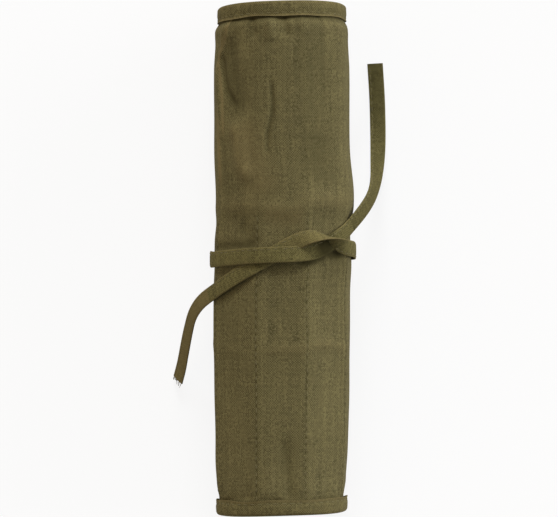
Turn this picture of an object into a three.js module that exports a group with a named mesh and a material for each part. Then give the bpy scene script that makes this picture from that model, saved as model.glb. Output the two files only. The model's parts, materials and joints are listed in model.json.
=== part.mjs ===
// A canvas brush roll, rolled up and tied, lying on a table.
// Millimetres: +Y runs along the roll, +Z is up, the table is z = 0.
// The open roll is a strip of canvas sewn into brush pockets. Each pocket is one panel,
// the seams between the panels are the folds, and the panels lie along a spiral.
import * as THREE from 'three';

// The strip: sizes along the roll and across each pocket
const ROLL_LENGTH = 370;
const PANEL_WIDTHS = [46, 42.5, 42.5, 36.5, 35.5, 38.5, 38.5, 37.5, 34.5, 34.5, 32.5, 32.5];
const CANVAS_THICKNESS = 1.2;
const SEAM_GAP = 1.0;
const OPEN_MARGIN = 0.2;

// The pockets: a lighter front, sewn down at both seams and along the bottom hem
const POCKET_THICKNESS = 0.8;
const POCKET_DEPTH = 7.0;
const POCKET_TAPER = 45;
const POCKET_MOUTH_Y = 31;
const SEWN_GAP = 0.4;

// The hems: a folded binding at each end, which draws the roll in a little
const BINDING_THICKNESS = 0.9;
const BINDING_HEIGHT = 11;
const HEM_DRAW = 1.2;
const HEM_DRAW_LENGTH = 45;

// The spiral: height of its centre, loss of radius in one turn, roundness of a panel
const CORE_HEIGHT = 52.3;
const TURN_PITCH = 16.2;
const ARC_SHARE = 0.77;

// The tie: a flat strap round the middle, knotted on top, with two loose tails
const TIE_WIDTH = 11.5;
const TIE_THICKNESS = 1.6;
const LAY_GAP = 0.3;
const TIE_LEFT_Y = 1.2;
const TIE_RIGHT_Y = 6.5;
const KNOT_Y = 2.8;
const KNOT_CLEARANCE = 0.7;
const KNOT_UNDER_Y = -5;
const CLIMB_END = 0.25;
const DESCENT_START = 0.35;
const DESCENT_END = 0.75;
const FREE_EDGE_U = 0.45;
const LIFT_OFF_U = 0.1;
const EDGE_TURN = 0.3;
const EDGE_RISE = 0.75;
const LEFT_TAIL_Y = -25;
const RIGHT_TAIL_Y = 28;

// The loose tails, point by point: millimetres out from the side of the roll, y along the roll,
// and the share that is left of the fall from the seam to the lowest height
const RIGHT_TAIL_POINTS = [
  [10.3, 36.5, 0.753], [16.2, 47, 0.546], [19.2, 58, 0.367], [20.7, 71, 0.216], [21.4, 86, 0.106],
  [21.4, 101, 0.037], [20.9, 121, 0.004], [19.4, 146, 0],
];
const LEFT_TAIL_POINTS = [
  [10.3, -31.5, 0.719], [16, -40, 0.542], [19.2, -51, 0.38], [22.2, -65, 0.218], [24.6, -77, 0.085],
  [27.2, -86.5, 0],
];
const RIGHT_TAIL_LOW = 1.3;
const LEFT_TAIL_LOW = 6;
const RIGHT_TAIL_FACING = [0.05, 0, 1];
const LEFT_TAIL_FACING = [-0.75, 0, 0.65];

// How far the roll lies to the right of the middle of the whole, because its left tail reaches further out
const ROLL_OFFSET = 1.9;

// Facets across one panel, and across a strand that climbs over another
const ARC_STEPS = 5;
const STRAND_STEPS = 10;

const canvasCloth = new THREE.MeshStandardMaterial({ color: 0x5d5538, roughness: 0.95, metalness: 0 });
const pocketCloth = new THREE.MeshStandardMaterial({ color: 0x665e3f, roughness: 0.95, metalness: 0 });
const bindingCloth = new THREE.MeshStandardMaterial({ color: 0x554d32, roughness: 0.95, metalness: 0 });
const tieCloth = new THREE.MeshStandardMaterial({ color: 0x5f5834, roughness: 0.95, metalness: 0 });

const HALF_LENGTH = ROLL_LENGTH / 2;
const CLOTH_END = HALF_LENGTH - BINDING_THICKNESS - LAY_GAP;
const HEM_FLAT = BINDING_HEIGHT + LAY_GAP;
const STRAND_LOW = LAY_GAP;
const STRAND_HIGH = STRAND_LOW + TIE_THICKNESS + LAY_GAP;
const TIE_GROOVE = TIE_THICKNESS + 2 * LAY_GAP;
const LAST_PANEL = PANEL_WIDTHS.length;

function smooth(t) {
  const c = THREE.MathUtils.clamp(t, 0, 1);
  return c * c * (3 - 2 * c);
}

// Spiral: the radius falls evenly with the turns made since the right edge of the first panel
function spiralPoint(turns) {
  const half = PANEL_WIDTHS[0] / 2;
  const radius = Math.hypot(CORE_HEIGHT, half) - TURN_PITCH * turns;
  const angle = Math.atan2(-CORE_HEIGHT, half) + 2 * Math.PI * turns;
  return new THREE.Vector2(radius * Math.cos(angle), CORE_HEIGHT + radius * Math.sin(angle));
}

// The turns at which the spiral is one panel's width away from the last seam
function turnsAtWidth(turns, width) {
  const seam = spiralPoint(turns);
  let low = turns;
  let high = turns + 0.4;
  for (let i = 0; i < 50; i += 1) {
    const middle = (low + high) / 2;
    if (spiralPoint(middle).distanceTo(seam) < width) low = middle;
    else high = middle;
  }
  return low;
}

// Each panel: its chord, and the arc that bulges outwards from that chord
function layPanels() {
  const half = PANEL_WIDTHS[0] / 2;
  const panels = [{ start: new THREE.Vector2(-half, 0), end: new THREE.Vector2(half, 0), sagitta: 0 }];
  let turns = 0;
  for (const width of PANEL_WIDTHS.slice(1)) {
    const next = turnsAtWidth(turns, width);
    const middle = spiralPoint((turns + next) / 2);
    const radius = middle.distanceTo(new THREE.Vector2(0, CORE_HEIGHT));
    const sagitta = (ARC_SHARE * width * width) / (8 * radius);
    panels.push({ start: spiralPoint(turns), end: spiralPoint(next), sagitta });
    turns = next;
  }
  for (const panel of panels) {
    const chord = panel.end.clone().sub(panel.start);
    panel.width = chord.length();
    panel.along = chord.normalize();
    panel.inward = new THREE.Vector2(-panel.along.y, panel.along.x);
    panel.halfAngle = 2 * Math.atan2(2 * panel.sagitta, panel.width);
    panel.length = panel.sagitta > 0
      ? (panel.width * panel.halfAngle) / Math.sin(panel.halfAngle)
      : panel.width;
  }
  for (let i = 0; i + 1 < panels.length; i += 1) {
    const bend = Math.acos(panels[i].along.dot(panels[i + 1].along));
    const fold = { bend, kink: bend - panels[i].halfAngle - panels[i + 1].halfAngle };
    panels[i].foldAfter = fold;
    panels[i + 1].foldBefore = fold;
  }
  return panels;
}

const panels = layPanels();

// Outer face of a panel at u (0 at its first seam, 1 at its second), with the inward direction
function outerFace(panel, u) {
  const turn = (2 * u - 1) * panel.halfAngle;
  const radius = panel.width / 2 / Math.sin(panel.halfAngle || 1);
  const across = panel.sagitta > 0 ? panel.width / 2 + radius * Math.sin(turn) : panel.width * u;
  const bulge = panel.sagitta > 0 ? radius * (Math.cos(turn) - Math.cos(panel.halfAngle)) : 0;
  const point = panel.start.clone().addScaledVector(panel.along, across).addScaledVector(panel.inward, -bulge);
  const inward = panel.inward.clone().multiplyScalar(Math.cos(turn)).addScaledVector(panel.along, -Math.sin(turn));
  return { point, inward };
}

// The roll's middle lies over x = 0, and its sides are half its width away
function outlineOfRoll() {
  const box = new THREE.Box2();
  for (const panel of panels) {
    for (let i = 0; i <= ARC_STEPS; i += 1) box.expandByPoint(outerFace(panel, i / ARC_STEPS).point);
  }
  return box;
}

const ROLL_OUTLINE = outlineOfRoll();
const ORIGIN_X = (ROLL_OUTLINE.min.x + ROLL_OUTLINE.max.x) / 2 - ROLL_OFFSET;
const ROLL_SIDE = (ROLL_OUTLINE.max.x - ROLL_OUTLINE.min.x) / 2;

// The hems draw the cloth towards the core, evenly under the binding and easing out below it
function drawnIn(y) {
  const fromEnd = HALF_LENGTH - Math.abs(y);
  return HEM_DRAW * (1 - smooth((fromEnd - HEM_FLAT) / (HEM_DRAW_LENGTH - HEM_FLAT)));
}

// A point of the roll: u across a panel, depth inwards from its outer face, y along the roll
function place(panel, u, depth, y) {
  const { point, inward } = outerFace(panel, u);
  point.addScaledVector(inward, depth + drawnIn(y));
  return new THREE.Vector3(point.x - ORIGIN_X, y, point.y);
}

// Closed skin over a grid of two faces: outer[i][j] and inner[i][j] are points
function slab(outer, inner) {
  const steps = outer.length;
  const stations = outer[0].length;
  const points = [...outer.flat(), ...inner.flat()];
  const at = (side, i, j) => side * steps * stations + i * stations + j;
  const index = [];
  const quad = (a, b, c, d) => index.push(a, b, c, a, c, d);
  for (let i = 0; i + 1 < steps; i += 1) {
    for (let j = 0; j + 1 < stations; j += 1) {
      quad(at(0, i, j), at(0, i, j + 1), at(0, i + 1, j + 1), at(0, i + 1, j));
      quad(at(1, i, j), at(1, i + 1, j), at(1, i + 1, j + 1), at(1, i, j + 1));
    }
    const last = stations - 1;
    quad(at(0, i, 0), at(0, i + 1, 0), at(1, i + 1, 0), at(1, i, 0));
    quad(at(0, i, last), at(1, i, last), at(1, i + 1, last), at(0, i + 1, last));
  }
  for (let j = 0; j + 1 < stations; j += 1) {
    const last = steps - 1;
    quad(at(0, 0, j), at(1, 0, j), at(1, 0, j + 1), at(0, 0, j + 1));
    quad(at(0, last, j), at(0, last, j + 1), at(1, last, j + 1), at(1, last, j));
  }
  return closedGeometry(points, index);
}

// Six times the volume that the triangles enclose, negative when they face inwards
function signedVolume(points, index) {
  let sum = 0;
  for (let i = 0; i < index.length; i += 3) {
    const [a, b, c] = [points[index[i]], points[index[i + 1]], points[index[i + 2]]];
    sum += a.dot(b.clone().cross(c));
  }
  return sum;
}

function closedGeometry(points, index) {
  const outward = signedVolume(points, index) > 0 ? index : [...index].reverse();
  const geometry = new THREE.BufferGeometry();
  geometry.setAttribute('position', new THREE.Float32BufferAttribute(points.flatMap((p) => p.toArray()), 3));
  geometry.setIndex(outward);
  geometry.computeVertexNormals();
  return geometry;
}

// How far a piece stays back from a fold at some depth: inside, it is mitred to the kink of the
// rolled cloth, and outside, it clears its neighbour when the roll lies open
function foldTrim(fold, depth) {
  if (!fold) return 0;
  const slant = depth > 0 ? Math.tan(fold.kink / 2) : Math.tan((fold.bend + OPEN_MARGIN) / 2);
  return SEAM_GAP / 2 + Math.abs(depth) * slant;
}

// A piece that follows one panel: faces(u) gives its outer and inner outlines as [depth, y] pairs
function panelPiece(panel, faces, { steps = ARC_STEPS, from = 0, until = 1 } = {}) {
  const placed = (share, depth, y) => {
    const reach = depth + drawnIn(y);
    const first = Math.max(from, foldTrim(panel.foldBefore, reach) / panel.length);
    const last = Math.min(until, 1 - foldTrim(panel.foldAfter, reach) / panel.length);
    return place(panel, THREE.MathUtils.lerp(first, last, share), depth, y);
  };
  const outer = [];
  const inner = [];
  for (let i = 0; i <= steps; i += 1) {
    const share = i / steps;
    const outline = faces(THREE.MathUtils.lerp(from, until, share));
    outer.push(outline.outer.map(([depth, y]) => placed(share, depth, y)));
    inner.push(outline.inner.map(([depth, y]) => placed(share, depth, y)));
  }
  return slab(outer, inner);
}

const roll = new THREE.Group();

function addPiece(name, geometry, material) {
  const piece = new THREE.Mesh(geometry, material);
  piece.name = name;
  roll.add(piece);
}

function numbered(name, number) {
  return `${name}_${String(number).padStart(2, '0')}`;
}

// The first panel lies on the tie, which presses a groove into it from below
const GROOVE_Y = (TIE_LEFT_Y + TIE_RIGHT_Y) / 2;
const GROOVE_HALF = TIE_WIDTH / 2 + Math.abs(TIE_RIGHT_Y - TIE_LEFT_Y) / 2 + LAY_GAP;
const GROOVE_STATIONS = [
  GROOVE_Y - GROOVE_HALF - TIE_GROOVE, GROOVE_Y - GROOVE_HALF,
  GROOVE_Y + GROOVE_HALF, GROOVE_Y + GROOVE_HALF + TIE_GROOVE,
];

function grooveDepth(panel, y) {
  if (panel !== panels[0]) return 0;
  return THREE.MathUtils.clamp(GROOVE_HALF + TIE_GROOVE - Math.abs(y - GROOVE_Y), 0, TIE_GROOVE);
}

// Y stations from an end of the cloth up to where the hem stops drawing it in
function hemStations(end) {
  const easing = HEM_DRAW_LENGTH - HEM_FLAT;
  const fromEnd = [HEM_FLAT, HEM_FLAT + easing / 3, HEM_FLAT + (2 * easing) / 3, HEM_DRAW_LENGTH];
  return [end * CLOTH_END, ...fromEnd.map((distance) => end * (HALF_LENGTH - distance))];
}

function canvasPanel(panel) {
  const middle = panel === panels[0] ? GROOVE_STATIONS : [];
  const stations = [...hemStations(-1), ...middle, ...hemStations(1).reverse()];
  const outer = stations.map((y) => [grooveDepth(panel, y), y]);
  const inner = outer.map(([depth, y]) => [depth + CANVAS_THICKNESS, y]);
  return panelPiece(panel, () => ({ outer, inner }));
}

// The room between canvas and pocket front: a lens across the panel that tapers to the bottom hem
function pocketRoom(panel, u, y) {
  const lens = 4 * u * (1 - u) * smooth((HALF_LENGTH - HEM_FLAT + y) / POCKET_TAPER);
  return Math.max(SEWN_GAP + (POCKET_DEPTH - SEWN_GAP) * lens, grooveDepth(panel, y) + SEWN_GAP);
}

function pocketFront(panel) {
  const bottom = HEM_FLAT - HALF_LENGTH;
  const taper = [1, 2, 3, 4].map((step) => bottom + (POCKET_TAPER * step) / 4);
  const middle = panel === panels[0] ? GROOVE_STATIONS : [];
  const stations = [-CLOTH_END, bottom, ...taper, ...middle, POCKET_MOUTH_Y];
  return panelPiece(panel, (u) => {
    const outer = stations.map((y) => [CANVAS_THICKNESS + pocketRoom(panel, u, y), y]);
    const inner = outer.map(([depth, y]) => [depth + POCKET_THICKNESS, y]);
    return { outer, inner };
  });
}

// A binding: a channel folded over the end of the cloth, end -1 at the bottom and +1 at the top
function hemBinding(panel, end, clothStack) {
  const mouth = end * (HALF_LENGTH - BINDING_HEIGHT);
  const back = end * HALF_LENGTH;
  const fold = end * (HALF_LENGTH - BINDING_THICKNESS);
  const front = -LAY_GAP;
  const rear = clothStack + LAY_GAP;
  const outside = front - BINDING_THICKNESS;
  const inside = rear + BINDING_THICKNESS;
  const outer = [[outside, mouth], [outside, back], [inside, back], [inside, mouth]];
  const inner = [[front, mouth], [front, fold], [rear, fold], [rear, mouth]];
  return panelPiece(panel, () => ({ outer, inner }));
}

// A strand of the tie on one panel, through [u, y, height above the canvas] points
function tieStrand(panel, route, ends) {
  const at = (u) => {
    const next = Math.max(1, route.findIndex((stop) => stop[0] >= u));
    const [before, after] = [route[next - 1], route[next]];
    const share = (u - before[0]) / (after[0] - before[0]);
    const slope = (after[1] - before[1]) / ((after[0] - before[0]) * panel.length);
    return {
      y: THREE.MathUtils.lerp(before[1], after[1], share),
      height: THREE.MathUtils.lerp(before[2], after[2], share),
      half: (TIE_WIDTH / 2) * Math.hypot(1, slope),
    };
  };
  return panelPiece(panel, (u) => {
    const { y, height, half } = at(u);
    const edges = [y - half, y + half];
    return {
      outer: edges.map((edge) => [-height - TIE_THICKNESS, edge]),
      inner: edges.map((edge) => [-height, edge]),
    };
  }, { steps: STRAND_STEPS, ...ends });
}

// A free strap through points, with its flat side turning from one facing to another. A strap that
// starts at a seam is cut there along the seam.
function freeStrap(points, facings, startsAtSeam = false) {
  const outer = [];
  const inner = [];
  points.forEach((point, i) => {
    const along = points[Math.min(i + 1, points.length - 1)].clone().sub(points[Math.max(i - 1, 0)]).normalize();
    const side = along.clone().cross(facings[i]).normalize();
    const facing = side.clone().cross(along);
    if (startsAtSeam && i === 0) {
      side.set(0, Math.sign(side.y) / Math.hypot(along.x, along.z), 0);
      facing.copy(facings[i]);
    }
    const corner = (across, up) => point.clone()
      .addScaledVector(side, (across * TIE_WIDTH) / 2)
      .addScaledVector(facing, (up * TIE_THICKNESS) / 2);
    outer.push([corner(-1, 1), corner(1, 1)]);
    inner.push([corner(-1, -1), corner(1, -1)]);
  });
  return slab(outer, inner);
}

// A loose tail: it starts on a panel at u and y, and goes on through its own points, side 1 to the right
function looseTail(panel, u, y, side, points, low, lastFacing) {
  const { inward } = outerFace(panel, u);
  const firstFacing = new THREE.Vector3(-inward.x, 0, -inward.y);
  const start = place(panel, u, -STRAND_LOW - TIE_THICKNESS / 2, y);
  const free = points.map(([out, along, fall]) => (
    new THREE.Vector3(ROLL_OFFSET + side * (ROLL_SIDE + out), along, THREE.MathUtils.lerp(low, start.z, fall))
  ));
  const path = [start, ...free];
  const last = new THREE.Vector3(...lastFacing).normalize();
  const facings = path.map((_, i) => firstFacing.clone().lerp(last, smooth(i / (path.length - 2))).normalize());
  return freeStrap(path, facings, true);
}

// The tie under the first panel, which comes up round the free edge to the band on the left
function tieUnderRoll(rightPanel, leftPanel, leftUntil) {
  const middle = LAY_GAP + TIE_THICKNESS / 2;
  const right = place(rightPanel, 1, 0, 0).x - foldTrim(rightPanel.foldAfter, -STRAND_LOW - TIE_THICKNESS);
  const edge = place(rightPanel, 0, 0, 0).x;
  const left = edge - 2 * TIE_THICKNESS;
  const meet = place(leftPanel, leftUntil, -STRAND_HIGH - TIE_THICKNESS, TIE_LEFT_Y);
  const corner = new THREE.Vector3(left, TIE_LEFT_Y, middle + TIE_THICKNESS);
  const rise = new THREE.Vector3(meet.x - corner.x, 0, meet.z - corner.z);
  const down = new THREE.Vector3(0, 0, -1);
  const side = new THREE.Vector3(-rise.z, 0, rise.x).normalize();
  const points = [
    new THREE.Vector3(right, TIE_RIGHT_Y, middle),
    new THREE.Vector3(edge, TIE_LEFT_Y, middle),
    corner,
    corner.clone().addScaledVector(rise, EDGE_TURN),
    corner.clone().addScaledVector(rise, EDGE_RISE),
  ];
  return freeStrap(points, [down, down, down.clone().add(side), side, side]);
}

const panelNumber = (number) => panels[number - 1];
const hasPocket = (number) => number < LAST_PANEL;

panels.forEach((panel, i) => {
  const number = i + 1;
  const pocketStack = hasPocket(number) ? SEWN_GAP + POCKET_THICKNESS : 0;
  addPiece(numbered('canvas', number), canvasPanel(panel), canvasCloth);
  if (hasPocket(number)) addPiece(numbered('pocket', number), pocketFront(panel), pocketCloth);
  addPiece(numbered('top_binding', number), hemBinding(panel, 1, CANVAS_THICKNESS), bindingCloth);
  addPiece(numbered('bottom_binding', number), hemBinding(panel, -1, CANVAS_THICKNESS + pocketStack), bindingCloth);
});

// The knot on top: each side's band passes over the other side's tail, right and left of its seam
const KNOT_RIGHT = 4;
const KNOT_LEFT = KNOT_RIGHT + 1;
const RIGHT_SHOULDER = KNOT_RIGHT - 1;
const LEFT_SHOULDER = KNOT_LEFT + 1;
const LEFT_SIDE = LEFT_SHOULDER + 1;
const LEFT_END = LEFT_SIDE + 1;
const KNOT_OVER_Y = KNOT_Y + TIE_WIDTH + KNOT_CLEARANCE;
const CLIMB_Y = THREE.MathUtils.lerp(TIE_RIGHT_Y, KNOT_OVER_Y, CLIMB_END);
const strands = {
  tie_band_02: [RIGHT_SHOULDER - 1, [[0, TIE_RIGHT_Y, STRAND_LOW], [1, TIE_RIGHT_Y, STRAND_LOW]], { from: LIFT_OFF_U }],
  tie_band_03: [RIGHT_SHOULDER, [[0, TIE_RIGHT_Y, STRAND_LOW], [1, TIE_RIGHT_Y, STRAND_LOW]]],
  tie_right_over: [KNOT_RIGHT, [[0, TIE_RIGHT_Y, STRAND_LOW], [CLIMB_END, CLIMB_Y, STRAND_HIGH],
    [1, KNOT_OVER_Y, STRAND_HIGH]]],
  tie_right_under: [KNOT_RIGHT, [[0, RIGHT_TAIL_Y, STRAND_LOW], [1, KNOT_Y, STRAND_LOW]]],
  tie_left_over: [KNOT_LEFT, [[0, KNOT_Y, STRAND_HIGH], [1, TIE_LEFT_Y, STRAND_HIGH]]],
  tie_left_under: [KNOT_LEFT, [[0, KNOT_OVER_Y, STRAND_LOW], [1, KNOT_UNDER_Y, STRAND_LOW]]],
  tie_band_06: [LEFT_SHOULDER, [[0, TIE_LEFT_Y, STRAND_HIGH], [DESCENT_START, TIE_LEFT_Y, STRAND_HIGH],
    [DESCENT_END, TIE_LEFT_Y, STRAND_LOW], [1, TIE_LEFT_Y, STRAND_LOW]]],
  tie_left_slope: [LEFT_SHOULDER, [[0, KNOT_UNDER_Y, STRAND_LOW], [1, LEFT_TAIL_Y, STRAND_LOW]]],
  tie_band_07: [LEFT_SIDE, [[0, TIE_LEFT_Y, STRAND_LOW], [1, TIE_LEFT_Y, STRAND_LOW]]],
  tie_band_08: [LEFT_END, [[0, TIE_LEFT_Y, STRAND_LOW], [1, TIE_LEFT_Y, STRAND_LOW]], { until: FREE_EDGE_U }],
};
for (const [name, [number, route, ends]] of Object.entries(strands)) {
  addPiece(name, tieStrand(panelNumber(number), route, ends), tieCloth);
}
addPiece('tie_band_01', tieUnderRoll(panelNumber(1), panelNumber(LEFT_END), FREE_EDGE_U), tieCloth);

const tailTrim = (fold) => foldTrim(fold, -STRAND_LOW - TIE_THICKNESS);
const rightPanel = panelNumber(RIGHT_SHOULDER);
const leftPanel = panelNumber(LEFT_SIDE);
const rightStart = 1 - tailTrim(rightPanel.foldAfter) / rightPanel.length;
const leftStart = tailTrim(leftPanel.foldBefore) / leftPanel.length;
const rightTail = looseTail(
  rightPanel, rightStart, RIGHT_TAIL_Y, 1, RIGHT_TAIL_POINTS, RIGHT_TAIL_LOW, RIGHT_TAIL_FACING,
);
const leftTail = looseTail(
  leftPanel, leftStart, LEFT_TAIL_Y, -1, LEFT_TAIL_POINTS, LEFT_TAIL_LOW, LEFT_TAIL_FACING,
);
addPiece('right_tail', rightTail, tieCloth);
addPiece('left_tail', leftTail, tieCloth);

export default roll;
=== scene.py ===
"""Brush roll: olive canvas rolled up round its brush pockets, with bound hems and a knotted tie strap.

The cloth is one strip along a spiral. Every layer is a surface of two parameters, the arc length s
round the spiral and the place y along the roll, and each strip of cloth bends at one pocket seam.
"""
import json
import math

import bpy
import numpy as np
from bpy.props import FloatProperty, FloatVectorProperty, PointerProperty
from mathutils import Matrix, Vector


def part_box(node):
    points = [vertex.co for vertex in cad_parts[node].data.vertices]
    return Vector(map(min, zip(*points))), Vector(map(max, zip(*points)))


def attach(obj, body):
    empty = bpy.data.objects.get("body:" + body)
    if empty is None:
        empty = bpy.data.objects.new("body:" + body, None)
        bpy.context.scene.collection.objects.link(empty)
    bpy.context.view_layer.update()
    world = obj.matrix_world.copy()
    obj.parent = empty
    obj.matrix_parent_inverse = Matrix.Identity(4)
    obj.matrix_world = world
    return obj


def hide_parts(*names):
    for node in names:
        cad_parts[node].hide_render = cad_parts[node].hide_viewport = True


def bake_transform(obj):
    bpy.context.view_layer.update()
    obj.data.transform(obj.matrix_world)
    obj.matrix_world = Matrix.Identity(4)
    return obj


bl_info = {
    "name": "Brush roll",
    "version": (1, 0, 0),
    "blender": (4, 5, 0),
    "location": "View3D > Sidebar > Brush roll",
    "description": "Canvas, stitched pockets, bound hems and knotted tie of a rolled brush roll",
    "category": "Object",
}

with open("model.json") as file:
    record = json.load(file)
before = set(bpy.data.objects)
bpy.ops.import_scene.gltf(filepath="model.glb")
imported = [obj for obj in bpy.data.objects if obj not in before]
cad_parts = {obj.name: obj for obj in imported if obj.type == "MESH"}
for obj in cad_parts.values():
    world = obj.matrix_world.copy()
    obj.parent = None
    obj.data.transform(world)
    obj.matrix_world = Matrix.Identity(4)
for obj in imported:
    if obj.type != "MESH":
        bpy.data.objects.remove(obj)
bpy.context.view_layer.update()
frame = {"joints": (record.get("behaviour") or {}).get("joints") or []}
JOINTS = {joint["name"]: joint for joint in frame["joints"]}

MM = 0.001
PANELS = 12
STRIPS = PANELS - 1
SEAM_JOINTS = ["unroll"] + [f"seam_{number:02d}" for number in range(2, PANELS)]
SECTION_STEP = 0.25 * MM
CLOTH_STEP_S = 0.9 * MM
CLOTH_STEP_Y = 1.4 * MM
STRAP_STEP = 0.9 * MM
RING_POINTS = 28
TAIL_POINTS = 160
ARC_POINTS = 81
HEM_LEG_POINTS = 9
HEM_ROUND_POINTS = 11
STITCH_RINGS = 6
STITCH_TIP = 0.03
STITCH_SWING = 0.14
STITCH_SHARES = (0.72, 1.08)
SEAM_STEPS = 13
SEAM_STEPS_REACH = 2.1 * MM
SEAM_STEPS_ROOM = 2.4 * MM
SHARP_ANGLE = math.radians(50.0)
ALONG_ROLL = np.array([0.0, 1.0, 0.0])

# Folds: how far to each side of a seam the cloth bends, and how deep in the cloth
FOLD_REACH = 6.0 * MM
FOLD_DEPTH = 0.6 * MM

# Heights over which the roll's side turns into its upper side, and up to which it is held by the table
UPPER_FROM = 55.0 * MM
UPPER_RISE = 38.0 * MM
LOOSE_HEIGHT = 45.0 * MM

# Steps from the hems' draw out to the free cloth
TOP_STEP_LENGTH = 6.0 * MM
TOP_STEP_START = 0.2
BOTTOM_STEP_SHARE = 0.75
BOTTOM_STEP_LENGTH = 12.0 * MM
BOTTOM_FADE = 0.85

# Distances from the roll's middle over which its ends slant
SLANT_FROM = 60.0 * MM
SLANT_LENGTH = 90.0 * MM

# Bell curves along the roll or away from a hem: height, place and spread, the last two in mm
WIDE_BELL = [(1.0, -55.0, 85.0)]
TIE_BULGE = [(0.022, 3.0, 22.0)]
SWERVE_BELLS = [(1.0, 48.0, 25.0), (0.5, -3.0, 14.0)]
SWELL_BELLS = [(0.8, 52.0, 20.0), (0.4, -58.0, 20.0)]
HEM_PUFF = [(0.6, 7.0, 6.0)]
HEM_RECESS = [(1.1, 0.9, 2.2)]
# Painted shadow on the canvas just past each binding: height, place and spread of the darkening by distance
# from the binding
TOP_HEM_PAINTED_SHADOW = [(0.8, 1.3, 2.0)]
BOTTOM_HEM_PAINTED_SHADOW = [(0.3, 0.2, 0.9)]
SWERVE_BACK = 0.05
BOTTOM_PUFF = 0.45
SIDE_RECESS = 0.2

# Waves of the cloth: how many, shortest and longest in m, and the seed where they share one
FINE_PUCKERS = (7, 9.0 * MM, 19.0 * MM, 11)
FINE_STRETCH = 0.25
BROAD_PUCKERS = (3, 24.0 * MM, 40.0 * MM, 5)
BROAD_STRETCH = 0.1
SWAY_WAVES = (9, 45.0 * MM, 150.0 * MM, 3)
SAG_WAVES = (6, 25.0 * MM, 70.0 * MM, 21)
HEM_WANDER = (4, 18.0 * MM, 60.0 * MM)
HEM_WANDER_SEED = 31
HEM_RIPPLES = (6, 5.0 * MM, 14.0 * MM, 41)
SEAM_WANDER = (3, 40.0 * MM, 90.0 * MM)

# Puckers and broad waves near the hems: how fast they fade, and where they set in
PUCKER_REACH = 13.0 * MM
PUCKER_START = 3.0 * MM
SWAY_START = -4.0 * MM
SWAY_EASE = 30.0 * MM

# Pocket seams: first stitch over the binding, easing at the pocket mouth, furrow, and a darker seam line and
# needle holes, part dirt and part painted shade
SEAM_START = 2.2 * MM
MOUTH_EASE = 16.0 * MM
FURROW_WIDTH = 1.3 * MM
FURROW_HOLES = 0.4
SEAM_DARK = 0.85
SEAM_DARK_WIDTH = 0.65 * MM
SEAM_DARK_THREAD = 0.45
SEAM_DARK_HOLES = 0.7
SEAM_WANDER_WIDTH = 0.25 * MM
STITCH_LIFT = 0.05 * MM

# Height that the cloth may have under the strap and beside it, and where it eases from one to the other
UNDER_STRAP = 0.12 * MM
BESIDE_STRAP = 3.6 * MM
STRAP_MIDDLE = 2.0 * MM
STRAP_CLEAR = 27.0 * MM
STRAP_EASE = 12.0 * MM
FLAT_PAST_FOLD = 14.0 * MM
SOFT_LIMIT = 0.12 * MM

# Groove of the strap under the roll: room beside the strap, and its easing round the first fold
GROOVE_ROOM = 1.0 * MM
GROOVE_BEFORE = 1.0 * MM
GROOVE_EASE = 9.0 * MM

# Ends of a drawn wrinkle: the share of its length over which it eases out, and how strong it sets in
STROKE_EASE = 0.22
STROKE_START = 0.1

# Turned hem at the pocket mouths, and the sag of the pocket fronts
MOUTH_HEM = 8.5 * MM
MOUTH_HEM_EDGE = 1.2 * MM
MOUTH_HEM_THICKNESS = 0.7 * MM
MOUTH_ROW = [(0.3, 7.0, 0.8)]
SAG = 0.35 * MM
SAG_LIMIT = 1.0 * MM
SAG_ROOM = 3.0 * MM

# Hem bindings: the place of their stitch row, and how they wander, swell and wear
HEM_ROW = 2.3 * MM
HEM_ROW_WIDTH = 1.1 * MM
HEM_ROW_DEPTH = 0.28 * MM
HEM_ROW_SINK = 0.2 * MM
HEM_WANDER_WIDTH = 0.35 * MM
HEM_RIPPLE_HEIGHT = 0.13 * MM
HEM_LEG_FROM = 4.0 * MM
HEM_LEG_EASE = 3.0 * MM
HEM_SWELL = [(0.22, 5.5, 3.0)]
HEM_FOLD_WEAR = 0.55
HEM_FOLD_WIDTH = 2.2 * MM
HEM_EDGE_WIDTH = 1.0 * MM
HEMS = ((1.0, "top_binding"), (-1.0, "bottom_binding"))

# Knot routes over the roll's top: x, y and height of the strap's middle in mm, and lean to -Y in degrees
RIGHT_ROUTE = np.array([
    [47.0, 7.2, 2.0, 0], [42.5, 7.8, 3.0, 14], [37.5, 9.2, 4.7, 42], [33.0, 11.8, 6.2, 70],
    [29.0, 14.2, 6.9, 93], [25.5, 15.3, 7.0, 110], [21.5, 15.7, 6.6, 128], [16.0, 14.6, 4.8, 152],
    [11.0, 12.4, 2.7, 170], [4.5, 8.9, 1.3, 179], [-8.0, 1.5, 1.1, 180], [-21.0, -6.6, 1.1, 180],
    [-33.5, -14.6, 1.1, 180], [-43.0, -21.4, 1.1, 180],
])
LEFT_ROUTE = np.array([
    [-47.5, -0.6, 1.6, 0], [-38.0, 0.2, 1.9, 0], [-29.0, 0.8, 2.9, 0], [-21.0, 1.2, 3.7, 0],
    [-8.0, 1.8, 3.9, 0], [6.0, 2.4, 3.4, 0], [14.0, 3.2, 2.2, 0], [21.5, 4.8, 1.4, 0],
    [26.5, 7.4, 1.15, 0], [34.0, 12.2, 1.1, 0], [39.5, 16.4, 1.1, 0], [43.5, 20.4, 1.1, 0],
])
ROUTE_UNITS = np.array([MM, MM, 1.0])

# Tie: where its bands meet across a panel, how the routes ease into the knot, and where the tails leave
MEET_SHARE = 0.45
MEET_OVERLAP = 0.4 * MM
UNDER_START = 2.0 * MM
RIGHT_KNOT_EASE = 12.0 * MM
LEFT_KNOT_EASE = 14.0 * MM
TAIL_LEAVES = 7.0 * MM
PAST_ENDS = 10.0

# Points at the end of a strap on the roll that the curve of its tail sets out from
TAIL_SETS_OUT = slice(-7, None, 3)

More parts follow.
